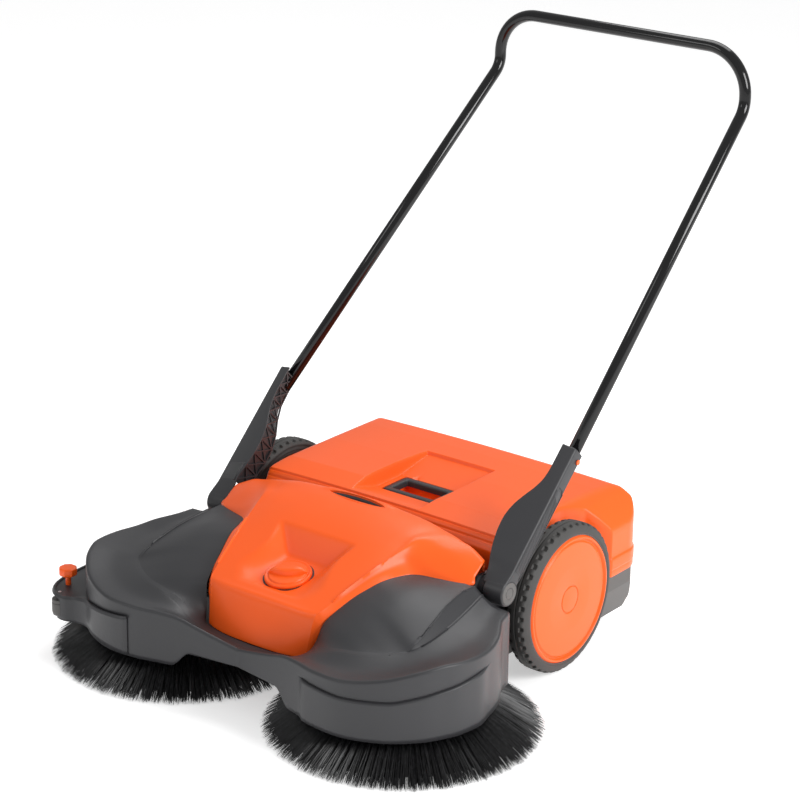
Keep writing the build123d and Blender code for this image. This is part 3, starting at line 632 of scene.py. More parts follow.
def shroud_wall(rim, side):
    """Rows from the rim edge down the outside of the skirt."""
    out = square_to(np.gradient(rim[:, :2], axis=0), 1)
    angle = skirt_angle(rim[:, 0], rim[:, 1])
    banded = ramp(angle, -113, -110) * (1 - ramp(angle, -2, 12)) * (rim[:, 0] > SKIRT[0] - 80)
    if side < 0:
        banded = banded * 0
    band_top = interpolate(angle, BAND_TOP)
    foot = np.array([shroud_foot(x) for x in rim[:, 0]])
    rows = []
    for a in np.linspace(15, 90, 6):
        a = math.radians(a)
        row = rim.copy()
        row[:, :2] += out * EDGE_R * math.sin(a)
        row[:, 2] -= EDGE_R * (1 - math.cos(a))
        rows.append(row)
    edge = rows[-1]
    band_top = np.minimum(band_top, edge[:, 2] - 8.0)
    for share in np.linspace(0.12, 1, 9):
        row = edge.copy()
        row[:, 2] = edge[:, 2] + (band_top + 1.6 - edge[:, 2]) * share
        rows.append(row)
    for proud, drop in [(-0.8, 0.8), (-0.8, -0.6), (0.4, -0.8), (0.8, -1.6), (1.0, -3.2), (1.0, -5.5)]:
        row = edge.copy()
        row[:, :2] += out * (BAND_PROUD * proud * banded if proud > 0 else proud * banded)[:, None]
        row[:, 2] = band_top + drop
        rows.append(row)
    base = rows[-1]
    for share in np.linspace(0.15, 1, 8):
        row = base.copy()
        row[:, 2] = base[:, 2] + (foot - base[:, 2]) * share
        rows.append(row)
    return rows


def shroud_shell():
    """Both brush hoods and the sill between them, as one moulded shell."""
    steps = [4, 6, 6, 6, 6, 6, 6, 6, 8, 8, 7, 7, 6, 6, 8]
    control = np.asarray(SHROUD_STATIONS, float)
    seam, top, foot, rim = [control[:, k] for k in range(4)]
    inner = seam * 0.52 + top * 0.48
    dome = ramp(np.arange(len(seam)), 1, 4) * (1 - ramp(np.arange(len(seam)), 7, 11))
    inner[:, 2] += 7.0 * dome
    outer = foot * 0.5 + rim * 0.5
    outer[:, 2] -= 5.0 * (1 - ramp(np.arange(len(seam)), 10, 14))
    rows = np.stack([seam, inner, top, foot, outer, rim], axis=1)
    fold = [1.6] * len(rows)
    rows = creased(creased(rows, 3, fold), 2, fold)
    half = net(rows, steps, [9, 9, 2, 2, 4, 2, 2, 9, 9])
    other = half[-2::-1] * np.array([-1, 1, 1])
    surface = np.concatenate([half, other])
    rim_line = surface[:, -1].copy()
    count = len(half)
    right_wall = shroud_wall(rim_line, 1)
    left_wall = shroud_wall(rim_line, -1)
    wall = []
    for right_row, left_row in zip(right_wall, left_wall):
        row = right_row.copy()
        row[count:] = left_row[count:]
        wall.append(row)
    sheet = np.concatenate([surface.swapaxes(0, 1), wall])
    drop = sheet[0].copy()
    drop[:, 2] -= 12.0
    sheet = np.concatenate([[drop], sheet])
    build = Build()
    build.grid(sheet)
    made = build.piece("shroud_shell", "chassis", "dark_plastic", ["brush_shroud"], angle=40)
    modified(made, "SOLIDIFY", thickness=SHELL * MM, offset=-1.0)
    return made


# ---- corner lobe with roller and hold-down ------------------------------------------------------
LOBE_LINE = [(-212, -546, 133), (-221, -549, 132), (-246, -549, 130), (-275, -544, 127), (-305, -534, 124),
             (-335, -518, 119), (-362, -517, 116), (-385, -525, 115.5), (-404, -521, 115.5),
             (-423, -503, 115.5), (-433, -478, 116), (-437, -440, 117), (-437, -400, 118),
             (-431, -368, 119), (-412, -352, 121), (-394, -345, 123)]
LOBE_FOOT = 68.0


def lobe_shell():
    """The flat corner beside the left brush hood, with its raised lip and deep apron."""
    line = smoothly(LOBE_LINE, 7)
    out = square_to(np.gradient(line[:, :2], axis=0), -1)
    hub = np.array([-SKIRT[0], SKIRT[1]])
    away = line[:, :2] - hub
    reach = np.linalg.norm(away, axis=1)[:, None]
    inside = hub + away / reach * np.minimum(reach - 1.0, 166.0)
    rows = []
    for share in np.linspace(0, 0.9, 6):
        row = line.copy()
        row[:, :2] = inside * (1 - share) + line[:, :2] * share
        row[:, 2] = line[:, 2] - 4.5
        rows.append(row)
    for inset, rise in [(7.5, -4.2), (6.2, -1.0), (4.6, 0.6), (2.2, 0.6), (0.6, -0.8), (0.0, -3.0)]:
        row = line.copy()
        row[:, :2] -= out * inset
        row[:, 2] += rise
        rows.append(row)
    foot = np.interp(np.arange(len(line)), [0, len(line) * 0.3, len(line) - 1], [60, 66, LOBE_FOOT])
    for share in np.linspace(0.2, 1, 7):
        row = line.copy()
        row[:, 2] = (line[:, 2] - 2.4) * (1 - share) + foot * share
        rows.append(row)
    build = Build()
    build.grid(rows, flip=True)
    made = build.piece("lobe_shell", "chassis", "dark_plastic", angle=40)
    modified(made, "SOLIDIFY", thickness=SHELL * MM, offset=-1.0)


def guide_roller():
    """Wall roller with its cap and a recessed waist."""
    low, high = node_box("guide_roller")
    half = (high[2] - low[2]) / 2
    radius = (high[0] - low[0]) / 2
    build = Build()
    section = rounded([(-half, 4.0), (-half, radius - 1.5), (-half + 6, radius), (half - 8, radius),
                       (half - 7, radius - 1.2), (half - 5.5, radius - 1.2), (half - 5, radius),
                       (half, radius - 0.5), (half, 4.0)], 0.8, 3)
    build.turned(section, ROLLER, steps=64)
    build.turned([(-half, 4.0), (half, 4.0)], ROLLER, steps=64)
    build.piece("corner_roller", "guide_roller", "grey_plastic", ["guide_roller"])


BUTTON_FOOT = 131.5
BUTTON_R = 16.6
STEM_R = 5.0


def hold_down():
    """Eight-sided push button, its stem, and the foot that presses on the bristles."""
    low, high = node_box("plunger_button")
    half = (high[2] - low[2]) / 2
    radius = BUTTON_R
    centre = middle("plunger_button")

    def facets(angle, along, r):
        sector = (angle + math.pi / 8) % (math.pi / 4) - math.pi / 8
        return (math.cos(math.pi / 8) ** 0.5 / math.cos(sector) - 1.0) * r * 0.8

    build = Build()
    base = BUTTON_FOOT - centre[2]
    section = rounded([(base, 5.2), (base, radius * 0.8), (base + 3, radius * 0.97),
                       (half - 5, radius * 0.98),
                       (half - 2.5, radius * 0.98), (half, radius * 0.84), (half, 0.01)], 1.6, 4)
    build.turned([(base, 0.01)] + section, centre, steps=96, wobble=facets)
    build.piece("push_button", "hold_down", "orange_plastic", ["plunger_button"], angle=30)
    low, high = node_box("plunger_stem")
    stem = Build()
    section = rounded([(low[2], 0.01), (low[2], STEM_R), (high[2], STEM_R), (high[2], 0.01)], 0.5)
    stem.turned(section, (*PLUNGER[:2], 0), steps=40)
    stem.piece("press_stem", "hold_down", "orange_plastic", ["plunger_stem"])
    low, high = node_box("plunger_foot")
    foot = Build()
    width = (high[0] - low[0]) / 2
    depth = (high[1] - low[1]) / 2
    rings = []
    for z, scale in [(low[2], 0.7), (low[2] + 1.0, 0.92), (low[2] + 3, 1.0), (high[2] - 2, 0.98),
                     (high[2] - 0.5, 0.8), (high[2], 0.5)]:
        corners = [(-width, -depth), (width, -depth), (width, depth), (-width, depth)]
        rings.append([(PLUNGER[0] + px * scale, PLUNGER[1] + py * scale, z)
                      for px, py in rounded(corners, 3.5, 4, closed=True)])
    foot.grid(rings, wrap_columns=True)
    foot.fan(rings[0], flip=True)
    foot.fan(rings[-1])
    foot.piece("press_foot", "hold_down", "orange_plastic", ["plunger_foot"])


# ---- hopper lid -------------------------------------------------------------------------------
LID_REAR = 248.0
LID_FRONT = -128.0
SPLIT_Z = 118.0
CORNER_R = 52.0
LID_ROOF = [(-128, 243), (-124, 246), (-117, 257), (-110, 265.5), (-60, 273.5), (60, 272.5), (170, 269),
            (214, 266.5), (230, 260), (239, 246), (244, 222), (248, 190)]
LID_HALF = [(-128, 262), (-100, 266), (54, 266), (62, 267.2), (84, 273.8), (106, 282), (109, 284),
            (143.5, 318), (152, 318)]
LID_STEPS = (-119.0, -112.0)                # fine grooves along the front band
LID_BELT = 156.0                            # where the moulded belt begins
LID_SHOULDER = [(200, 316), (264, 266), (282, 252), (300, 232), (318, 208), (330, 192)]
RECESS = {"half": 79.0, "front": -110.0, "rear": 119.0}
HANDLE_LOW, HANDLE_HIGH = node_box("carry_handle")
POCKET_Z = 206.0


def lid_half(y):
    """Half width of the lid at a place along the machine, with round rear corners."""
    half = interpolate(y, LID_HALF)
    into = np.clip(y - (LID_REAR - CORNER_R), 0, CORNER_R)
    return half - (CORNER_R - np.sqrt(np.maximum(CORNER_R ** 2 - into ** 2, 0)))


def lid_roof(x, y):
    """Height of the lid's upper skin."""
    roof = interpolate(y, LID_ROOF)
    crown = roof - 4.0 * (x / 266.0) ** 2
    skin = soft_min(crown, interpolate(np.abs(x), LID_SHOULDER), 6.0)
    for line in LID_STEPS:
        skin = skin - 2.0 * np.exp(-((y - line) / 1.0) ** 2)
    return skin


def recess_floor(x, y):
    """Sunk panel round the carry handle: it rises to front and rear between steep borders."""
    slope = 249.0 + np.clip(y - HANDLE_HIGH[1], 0, None) * 0.18 + np.clip(HANDLE_LOW[1] - y, 0, None) * 0.27
    side = slope + (np.abs(x) - RECESS["half"] + 4.0) * 3.2
    rear = slope + (y - RECESS["rear"] + 4.0) * 3.2
    skin = soft_max(soft_max(slope, side, 4.0), rear, 4.0)
    notch = 246.0 + np.abs(x + 38.0 - (y - 40) * 0.2) * 0.9 + np.clip(y - 36.0, 0, None) * 0.55
    skin = np.where(y > 30, soft_min(skin, notch, 4.0), skin)
    return skin


def lid_shell():
    across = np.concatenate([np.linspace(0, 46, 14), np.linspace(49, 62, 6), np.linspace(65, 92, 24),
                             np.linspace(98, 236, 34), np.linspace(240, 260, 8)])
    across = np.concatenate([across / 268.0, [0.978, 0.985, 0.991, 0.996, 1.0]])
    across = np.concatenate([-across[:0:-1], across])
    along = np.concatenate([np.linspace(-128, -108, 41), np.linspace(-105, -56, 18),
                            np.linspace(-53, 44, 44),
                            np.linspace(46, 104, 28), np.linspace(105, 150, 46), np.linspace(153, 200, 15),
                            np.linspace(203, 240, 15),
                            [242, 244, 245.6, 246.8, 247.6, 248]])
    u, y = np.meshgrid(across, along)
    x = u * lid_half(y)
    z = lid_roof(x, y)
    panel = (np.abs(x) < RECESS["half"] + 14) & (y > RECESS["front"]) & (y < RECESS["rear"] + 10)
    z = np.where(panel, soft_min(z, recess_floor(x, y), 4.0), z)
    low, high = HANDLE_LOW, HANDLE_HIGH
    pocket = (np.abs(x) < high[0] - 7) & (y > low[1] + 7) & (y < high[1] - 7)
    under = (np.abs(x) < high[0] + 1.5) & (y > low[1] - 1.5) & (y < high[1] + 1.5)
    z = np.where(under, np.minimum(z, HANDLE_LOW[2] + 1.0), z)
    z = np.where(pocket, POCKET_Z + np.abs(x) * 0.06, z)
    edge = np.minimum((1 - np.abs(u)) * lid_half(y), np.minimum(y - LID_FRONT, LID_REAR - y + 3))
    turn = 5.0
    edge = np.clip(edge, 0, turn)
    z = z - (turn - np.sqrt(turn ** 2 - (turn - edge) ** 2))
    surface = np.stack([x, y, z], axis=-1)
    ring = np.concatenate([surface[0, :-1], surface[:-1, -1], surface[-1, :0:-1], surface[:0:-1, 0]])
    out = square_to(np.roll(ring, -1, axis=0)[:, :2] - np.roll(ring, 1, axis=0)[:, :2], -1)
    rows = []
    for share in np.linspace(0, 1, 8):
        row = ring.copy()
        row[:, 2] = ring[:, 2] * (1 - share) + LID_BELT * share
        rows.append(row)
    for proud, z_level in [(0.3, 154.2), (1.6, 153.0), (2.4, 151.0), (2.6, 148.0), (2.6, 134.0),
                           (2.1, 131.5),
                           (1.4, 130.5), (1.6, 129.0), (1.6, SPLIT_Z + 1), (1.0, SPLIT_Z), (-2.0, SPLIT_Z)]:
        row = ring.copy()
        row[:, :2] += out * proud
        row[:, 2] = z_level
        rows.append(row)
    build = Build()
    build.grid(surface)
    build.grid(np.array(rows), wrap_columns=True, flip=True)
    made = build.piece("lid_shell", "hopper", "orange_plastic", ["hopper_lid"], angle=45)
    modified(made, "SOLIDIFY", thickness=SHELL * MM, offset=-1.0)
    return made


def carry_grip():
    """Rounded loop of the carry handle with a finger relief along its front bar."""
    low, high = HANDLE_LOW, HANDLE_HIGH
    centre = (low + high) / 2
    half = (high - low) / 2
    bar = 13.0
    corners = [(-1, -1), (1, -1), (1, 1), (-1, 1)]
    section = [(0.0, -half[2]), (0.0, half[2] - 2.5), (0.05, half[2] - 0.9), (0.17, half[2]),
               (0.83, half[2]),
               (0.95, half[2] - 0.9), (1.0, half[2] - 2.5), (1.0, -half[2])]
    rings = []
    for share, z in section:
        px = half[0] - share * bar
        py = half[1] - share * bar
        outline = rounded([(sx * px, sy * py) for sx, sy in corners], 7.0 - 3.0 * share, 5, closed=True)
        rings.append([(centre[0] + ox, centre[1] + oy, centre[2] + z) for ox, oy in outline])
    build = Build()
    build.grid(rings, wrap_rows=True, wrap_columns=True)
    build.piece("carry_grip", "hopper", "dark_plastic", ["carry_handle"], angle=40)


# ---- handle arms ------------------------------------------------------------------------------
LEAN = math.radians(46.0)
ARM_OUTER = 330.5
ARM_WALL = 3.6
ARM_LENGTH = 277.0
ARM_FRONT = 18.0
ARM_BACK = -9.0
ARM_SLOPE = 12.5 / 40.0
ARM_WIDTH = [(0, 44), (34, 46), (70, 55), (104, 59), (132, 57), (160, 47), (190, 31), (215, 25), (277, 25)]
CAP_R = 23.3


def arm_at(x, s, n):
    """A place on the right arm: s along it from the pivot, n towards its front."""
    return (x, PIVOT[1] + s * math.sin(LEAN) - n * math.cos(LEAN),
            PIVOT[2] + s * math.cos(LEAN) + n * math.sin(LEAN))


def arm_width(s):
    """Width of the slanted front wall, smoothed along the arm."""
    return sum(interpolate(s + d, ARM_WIDTH) for d in (-14, -7, 0, 7, 14)) / 5


def arm_front(s):
    """Front of the outer wall: it swells a little to meet the hub."""
    return ARM_FRONT + 4.6 * (1 - ramp(s, 2.0, 34.0))


def arm_tip(s):
    """Inner edge of the slanted front wall, which flattens out towards the hub."""
    return arm_front(s) + ARM_SLOPE * ramp(s, -2.0, 52.0) * arm_width(s)


def arm_section(s):
    """Closed section of the arm: outer wall, rounded front corner, slanted front wall."""
    width = arm_width(s)
    front = arm_front(s)
    tip = arm_tip(s)
    inner = front - ARM_WALL
    outline = [(0, ARM_BACK), (0, front), (width, tip), (width, tip - ARM_WALL),
               (ARM_WALL, inner), (ARM_WALL, ARM_BACK)]
    bends = rounded(outline, [1.2, 4.0, 1.6, 1.2, 2.0, 1.2], 4, closed=True)
    return [arm_at(ARM_OUTER - across, s, n) for across, n in bends]


def arm_rib(build, near, far, width_at):
    """A thin stiffening web between the outer wall and the front wall."""
    def corners(s, on_wall):
        width = width_at(s)
        if on_wall:
            return [arm_at(ARM_OUTER - 2.0, s, ARM_BACK + 1), arm_at(ARM_OUTER - 2.0, s, ARM_FRONT - 1)]
        tip = arm_tip(s)
        return [arm_at(ARM_OUTER - width + 1.5, s, tip - 4.0),
                arm_at(ARM_OUTER - width + 1.5, s, tip - 2.0)]
    a = corners(near[0], near[1])
    b = corners(far[0], far[1])
    shift = np.array(arm_at(0, 1.8, 0)) - np.array(arm_at(0, 0, 0))
    quad = [a[0], b[0], b[1], a[1]]
    build.block(quad + [tuple(np.array(q) + shift) for q in quad])


def arm(side):
    build = Build()
    stations = np.concatenate([np.linspace(0, ARM_LENGTH - 2, 64), [ARM_LENGTH]])
    sections = [arm_section(s) for s in stations]
    build.grid(sections, wrap_columns=True, flip=True)
    build.fan(sections[0])
    build.fan(sections[-1], flip=True)
    reach = ARM_OUTER - 290.5
    hub = rounded([(0, 10.5), (0, CAP_R - 2), (2, CAP_R), (reach - 2, CAP_R), (reach, CAP_R - 2),
                   (reach, CAP_R - 4.2), (reach - 2.0, CAP_R - 4.6), (reach - 2.0, 10.5)], 0.8, 3)
    hub_centre = (290.5, PIVOT[1], PIVOT[2])
    build.turned(hub + [hub[0]], hub_centre, "x", 96)
    cells = [40, 64, 92, 122, 152, 180, 204, 226]
    for low, high in zip(cells, cells[1:]):
        arm_rib(build, (low, True), (high, False), arm_width)
        arm_rib(build, (low, False), (high, True), arm_width)
        arm_rib(build, (high, True), (high, False), arm_width)
    for s in (236, 256, 274):
        arm_rib(build, (s, True), (s, False), arm_width)
    made = build.sided(side).piece("arm_" + side, "handle", "dark_plastic", ["handle_arm_" + side],
                                   angle=38)
    corners = [(39, 38), (42.5, 38), (42.5, 72), (39, 72)]
    rings = [[arm_at(ARM_OUTER - across, s, n) for across, s in corners] for n in (8, 60)]
    cut_through(made, rings, "handle", "dark_plastic", side)


def arm_truss(side):
    """Open lattice on the arm's inner side, in front of its black lining."""
    lining = Build()
    rows = []
    for s in np.linspace(36, 270, 60):
        places = np.linspace(ARM_BACK + 1.0, arm_tip(s) - 2.5, 5)
        rows.append([arm_at(ARM_OUTER - arm_width(s) + 4.0, s, n) for n in places])
    lining.grid(rows)
    bars = Build()

    def bar(first, last, thick=1.1):
        """A square bar between two (s, n) places in the plane of the front wall's inner edge."""
        ends = []
        for s, n in (first, last):
            ends.append(np.array(arm_at(ARM_OUTER - arm_width(s) + 1.6, s, n)))
        way = (ends[1] - ends[0]) / np.linalg.norm(ends[1] - ends[0])
        aside = np.cross(way, (1, 0, 0))
        aside /= np.linalg.norm(aside)
        outward = np.array((1.0, 0.0, 0.0))
        corners = ((-1, -1), (1, -1), (1, 1), (-1, 1))
        rings = [[end + aside * i * thick + outward * j * thick for i, j in corners] for end in ends]
        bars.block(rings[0] + rings[1])

    def edge(s):
        return arm_tip(s) - 2.0

    cells = np.linspace(40, 268, 9)
    back = ARM_BACK + 1.5
    for low, high in zip(cells, cells[1:]):
        bar((low, back), (high, edge(high)))
        bar((low, edge(low)), (high, back))
        bar((low, back), (high, back), 1.3)
        bar((high, back), (high, edge(high)))
    sheet = lining.sided(side).piece("arm_lining_" + side, "handle", "pulley_plastic", angle=50)
    modified(sheet, "SOLIDIFY", thickness=0.5 * MM, offset=0.0)
    bars.sided(side).piece("arm_lattice_" + side, "handle", "dark_plastic", angle=30)


def arm_side_pad(side):
    """Pad on the arm's outer wall: diagonal knurl inside a raised frame."""
    face = ARM_OUTER
    build = Build()
    n_low, n_high = ARM_BACK + 3.0, ARM_FRONT - 3.5
    s_low, s_high = 36.0, 198.0
    panel = [(s_low, n_low), (s_high - 6, n_low), (s_high, n_low + 7), (s_high, n_high), (s_low, n_high)]
    rings = []
    for inset, rise in [(0.0, -0.2), (0.0, 0.3), (0.5, 0.6)]:
        rings.append([arm_at(face + rise, s + (inset if s == s_low else -inset),
                             n + (inset if n < 0 else -inset)) for s, n in panel])
    build.grid(rings, wrap_columns=True, flip=True)
    build.fan(rings[-1], flip=True)
    pitch = 4.2
    for k in range(int((s_high - s_low - 16) / pitch)):
        s = s_low + 3 + k * pitch
        low = [arm_at(face + 0.5, s + ds, n) for ds, n in
               [(0, n_low + 2), (1.7, n_low + 2), (10.7, n_high - 1.5), (9.0, n_high - 1.5)]]
        high = [(x + 0.5, y, z) for x, y, z in low]
        build.block(low + high)
    build.sided(side).piece("arm_pad_" + side, "handle", "dark_plastic", angle=30)
    line = Build()
    path = [arm_at(face + 0.1, s, n) for s, n in
            [(30, ARM_BACK + 1.2), (s_high, ARM_BACK + 1.2), (s_high + 6, n_low + 4),
             (s_high + 6, n_high - 7)]]
    for a, b in zip(path, path[1:]):
        a, b = np.array(a), np.array(b)
        way = (b - a) / np.linalg.norm(b - a)
        across = np.cross(way, (1, 0, 0))
        ring = []
        for place in (a - way * 0.5, b + way * 0.5):
            ring.append([place + across * 0.9 * i + np.array((0.7, 0, 0)) * j
                         for i, j in ((-1, -1), (1, -1), (1, 1), (-1, 1))])
        line.block(ring[0] + ring[1])
    line.sided(side).piece("arm_line_" + side, "handle", "pulley_plastic", angle=30)


def pivot_cap(side):
    """Round cap over the pivot with a raised inner ring."""
    low, high = node_box("pivot_cap_right")
    build = Build()
    radius = CAP_R - 3.6
    proud = high[0] - PIVOT[0]
    back = low[0] - PIVOT[0]
    section = rounded([(back, 0.01), (back, radius), (proud - 0.8, radius), (proud, radius - 1.0),
                       (proud, 11.2),
                       (proud - 0.9, 10.2), (proud - 0.9, 9.4), (proud - 0.1, 8.6), (proud - 0.1, 0.01)],
                       0.4, 3)
    build.turned(section, PIVOT, "x", 96)
    build.sided(side).piece("pivot_button_" + side, "handle", "grey_plastic", ["pivot_cap_" + side])


# ---- push tube --------------------------------------------------------------------------------
TUBE_R = 11.0
TUBE_FOOT = (315.2, -9.0, 372.4)
TUBE_BEND = (274.6, 592.0, 882.0)
TUBE_TOP = (274.6, 592.0, 988.0)
TUBE_RADII = (42.0, 82.0)


def tube_line():
    """Centre line of the push tube: straight runs joined by round bends."""
    right = [np.array(p) for p in (TUBE_FOOT, TUBE_BEND, TUBE_TOP)]
    left = [p * np.array((-1, 1, 1)) for p in reversed(right)]
    corners = right + left
    radii = list(TUBE_RADII) + list(reversed(TUBE_RADII))
    line = [corners[0]]
    for before, corner, after, radius in zip(corners, corners[1:], corners[2:], radii):
        a = (before - corner) / np.linalg.norm(before - corner)
        b = (after - corner) / np.linalg.norm(after - corner)
        half = math.acos(np.clip(a @ b, -1, 1)) / 2
        centre = corner + (a + b) / np.linalg.norm(a + b) * radius / math.sin(half)
        start = corner + a * radius / math.tan(half)
        spoke = start - centre
        toward = -a - spoke * (spoke @ -a) / (spoke @ spoke)
        toward = toward / np.linalg.norm(toward) * radius
        sweep = math.pi - 2 * half
        for t in np.linspace(0, sweep, 18):
            line.append(centre + spoke * math.cos(t) + toward * math.sin(t))
    line.append(corners[-1])
    return np.array(line)


def push_tube():
    line = tube_line()
    way = np.gradient(line, axis=0)
    way /= np.linalg.norm(way, axis=1)[:, None]
    aside = np.cross(way[0], (1, 0, 0))
    aside /= np.linalg.norm(aside)
    rings = []
    for place, direction in zip(line, way):
        aside = aside - direction * (aside @ direction)
        aside /= np.linalg.norm(aside)
        up = np.cross(direction, aside)
        rings.append([place + (aside * math.cos(a) + up * math.sin(a)) * TUBE_R
                      for a in np.linspace(0, 2 * math.pi, 41)[:-1]])
    build = Build()
    build.grid(rings, wrap_columns=True, flip=True)
    for ring, place, flip in ((rings[0], line[0], False), (rings[-1], line[-1], True)):
        inner = [place + (p - place) * 0.86 for p in ring]
        build.grid([ring, inner], wrap_columns=True, flip=flip)
        build.fan(inner, flip=flip)
    build.piece("push_tube", "handle", "black_tube", ["handle_tube"], angle=50)


# ---- wheels -----------------------------------------------------------------------------------
LUGS = 44


def tyre(side):
    """Tyre with a middle groove and notches that break both shoulders of the tread."""
    inner, outer = WHEEL_X[0], WHEEL_X[1] - 2.0
    half = (outer - inner) / 2
    profile = rounded([(-half, 117.0), (-half, 119.0), (-half + 1.5, 123.5), (-half, 127.0),
                       (-half + 5, WHEEL_R - 1.2),
                       (-half + 9, WHEEL_R - 0.4), (0, WHEEL_R), (half - 10, WHEEL_R - 0.4),
                       (half - 6, WHEEL_R - 2.2), (half - 2.2, WHEEL_R - 9), (half - 1, 123.5),
                       (half, 120.0),
                       (half - 1, 117.0)], 2.0, 3)
    rows = []
    for (a, ra), (b, rb) in zip(profile, profile[1:]):
        steps = max(1, int(math.hypot(b - a, rb - ra) / 1.6))
        for t in range(steps):
            rows.append((a + (b - a) * t / steps, ra + (rb - ra) * t / steps))
    rows.append(profile[-1])

    def tread_cut(angle, along, radius):
        wave = (angle * LUGS / (2 * math.pi) + (0.5 if along > 0 else 0.0)) % 1.0
        notch = wave < 0.42 and abs(along) > half - 12.0
        groove = abs(along) < 1.3
        if notch:
            return min(0.0, WHEEL_R - 4.6 - radius)
        return -2.2 if groove else 0.0

    build = Build()
    centre = ((inner + outer) / 2, WHEEL[1], WHEEL[2])
    build.turned(rows, centre, "x", LUGS * 9, wobble=tread_cut)
    build.turned([rows[-1], rows[0]], centre, "x", LUGS * 9)
    build.sided(side).piece("tread_" + side, "wheel_" + side, "tyre_rubber", ["tyre_" + side], angle=28)


def wheel_cover(side):
    """Orange disc with a raised rim, shallow dish and centre button."""
    low, high = node_box("wheel_disc_right")
    radius = (high[1] - low[1]) / 2
    back = low[0] - WHEEL[0]
    face = high[0] - WHEEL[0]
    section = rounded([(back, radius - 5), (back, radius), (face - 4.5, radius), (face - 0.2, radius - 3.2),
                       (face - 0.2, radius - 6.0), (face - 5.0, radius - 8.4), (face - 4.6, radius - 10.6),
                       (face - 2.4, radius - 13.0), (face - 1.2, 60), (face - 1.6, 25.6),
                       (face - 3.2, 25.0), (face - 3.2, 23.9),
                       (face - 1.5, 23.2), (face - 1.3, 0.01)], 1.3, 4)
    build = Build()
    build.turned([(back, 0.01)] + section, WHEEL, "x", 160)
    nodes = ["wheel_disc_" + side, "wheel_cap_" + side]
    build.sided(side).piece("wheel_cover_" + side, "wheel_" + side, "orange_plastic", nodes, angle=28)


# ---- brushes ----------------------------------------------------------------------------------
TUFTS = 96
STRANDS = 74
ROOT_R = (118.0, 133.0)
ROOT_Z = 65.0


def bristle_ring(side, seed):
    """Thousands of tapered strands set in tufts, splayed out to the floor."""
    chance = random.Random(seed)
    centre = np.array((BRUSH[0] * SIDES[side], BRUSH[1], 0.0))
    points = []
    faces = []
    for tuft in range(TUFTS):
        base = 2 * math.pi * (tuft + chance.uniform(-0.15, 0.15)) / TUFTS
        clump = chance.uniform(-1.2, 0.6)
        for _ in range(STRANDS):
            angle = base + chance.gauss(0, 0.011)
            tip_angle = base + chance.gauss(0, 0.022) + chance.uniform(-0.004, 0.004)
            depth = chance.random()
            root_r = ROOT_R[0] + (ROOT_R[1] - ROOT_R[0]) * depth
            tip_r = min(TIP_R - 0.4, TIP_R - 30.0 * (1 - depth) + clump + chance.gauss(-1.8, 1.6))
            tip_z = max(0.7, 1.2 + 3.0 * chance.random() + 5.0 * depth * chance.random() ** 3)
            thick = chance.uniform(0.42, 0.7)
            sag = chance.uniform(1.0, 4.5)
            start = len(points)
            for share in (0.0, 0.4, 0.75, 1.0):
                a = angle + (tip_angle - angle) * share
                r = root_r + (tip_r - root_r) * share
                z = ROOT_Z + (tip_z - ROOT_Z) * share + sag * math.sin(math.pi * share)
                place = centre + np.array((r * math.cos(a), r * math.sin(a), z))
                wide = thick * (1.0 if share < 1 else 0.45)
                side_way = np.array((-math.sin(a), math.cos(a), 0.0)) * wide
                points.append(place + side_way)
                points.append(place - side_way)
                points.append(place + np.array((0, 0, wide * 1.5)) * (1 if share < 1 else 0.5))
            for ring in range(3):
                s = start + ring * 3
                for k in range(3):
                    n = (k + 1) % 3
                    faces.append((s + k, s + n, s + n + 3, s + k + 3))
            faces.append((start + 2, start + 1, start))
            faces.append((start + 9, start + 10, start + 11))
    made = piece("bristle_ring_" + side, points, faces, "brush_" + side, "bristle", ["bristles_" + side],
                 60)
    bed = Build()
    profile = rounded([(64.0, 110.0), (64.5, 131.0), (40.0, 172.0), (14.0, 206.0), (10.0, 205.0),
                       (34.0, 166.0), (56.0, 118.0)], 1.0, 2)
    bed.turned(profile + [profile[0]], (centre[0], centre[1], 0), steps=180,
               wobble=lambda a, along, r: 1.2 * math.sin(a * 61) + 0.8 * math.sin(a * 97))
    bed.piece("bristle_bed_" + side, "brush_" + side, "bristle", angle=60)
    return made


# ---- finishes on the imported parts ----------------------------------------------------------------
def dress_frame():
    """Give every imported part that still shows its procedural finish."""
    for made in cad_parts.values():
        for slot in made.material_slots:
            slot.material = FINISHES[slot.material.name.split(".")[0]]


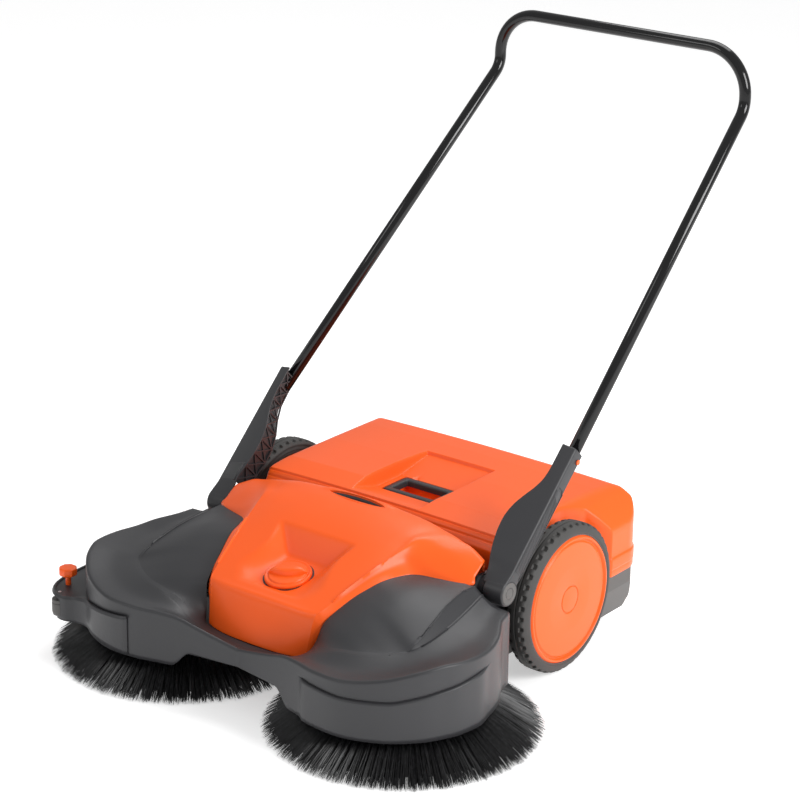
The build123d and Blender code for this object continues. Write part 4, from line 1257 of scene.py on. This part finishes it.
# ---- stage ------------------------------------------------------------------------------------
FLOOR_SIZE = 14
FLOOR_LEVEL = -0.0004                       # metres, like the other stage and camera values
ROOM_LIGHT = 0.5
LAMP_TARGET = (0, -0.1, 0.2)
LAMPS = [("right_softbox", (2.9, 0.1, 1.7), 1.4, 70), ("top_softbox", (-0.3, 1.3, 2.9), 1.8, 38),
         ("front_softbox", (-1.6, -3.0, 2.4), 1.2, 13)]
CAMERA_PLACE = (2.7235, -3.5791, 2.0702)
CAMERA_LENS = 121.48
CAMERA_RIGHT = (0.78771726, 0.61593507, 0.01120275)
CAMERA_UP = (-0.22043647, 0.26484113, 0.93875819)
CAMERA_AHEAD = (-0.57524714, 0.74194553, -0.34439448)


def stage():
    bpy.ops.mesh.primitive_plane_add(size=FLOOR_SIZE, location=(0, 0, FLOOR_LEVEL))
    floor = bpy.context.object
    floor.name = "studio_floor"
    floor.data.materials.append(studio_floor("pale studio floor"))
    world = bpy.context.scene.world or bpy.data.worlds.new("studio")
    bpy.context.scene.world = world
    world.use_nodes = True
    world.node_tree.nodes["Background"].inputs["Color"].default_value = (1, 1, 1, 1)
    world.node_tree.nodes["Background"].inputs["Strength"].default_value = ROOM_LIGHT
    for name, place, size, power in LAMPS:
        data = bpy.data.lights.new(name, "AREA")
        data.shape = "SQUARE"
        data.size = size
        data.energy = power
        lamp = bpy.data.objects.new(name, data)
        bpy.context.scene.collection.objects.link(lamp)
        lamp.location = place
        aim = Vector(LAMP_TARGET) - Vector(place)
        lamp.rotation_euler = aim.to_track_quat("-Z", "Y").to_euler()
    bpy.context.scene.view_settings.view_transform = "Standard"


def camera():
    data = bpy.data.cameras.new("view")
    data.sensor_width = 36.0
    data.lens = CAMERA_LENS
    data.clip_end = 50.0
    made = bpy.data.objects.new("view", data)
    bpy.context.scene.collection.objects.link(made)
    turn = Matrix((Vector(CAMERA_RIGHT), Vector(CAMERA_UP), -Vector(CAMERA_AHEAD))).transposed().to_4x4()
    made.matrix_world = Matrix.Translation(Vector(CAMERA_PLACE)) @ turn
    bpy.context.scene.camera = made


camera()
stage()
dress_frame()
cover_shell()
grip_rim()
knob_dial()
shroud_shell()
lobe_shell()
guide_roller()
hold_down()
lid_shell()
carry_grip()
for side_name in SIDES:
    arm(side_name)
    arm_truss(side_name)
    arm_side_pad(side_name)
    pivot_cap(side_name)
    tyre(side_name)
    wheel_cover(side_name)
    bristle_ring(side_name, 11 + SIDES[side_name])
push_tube()
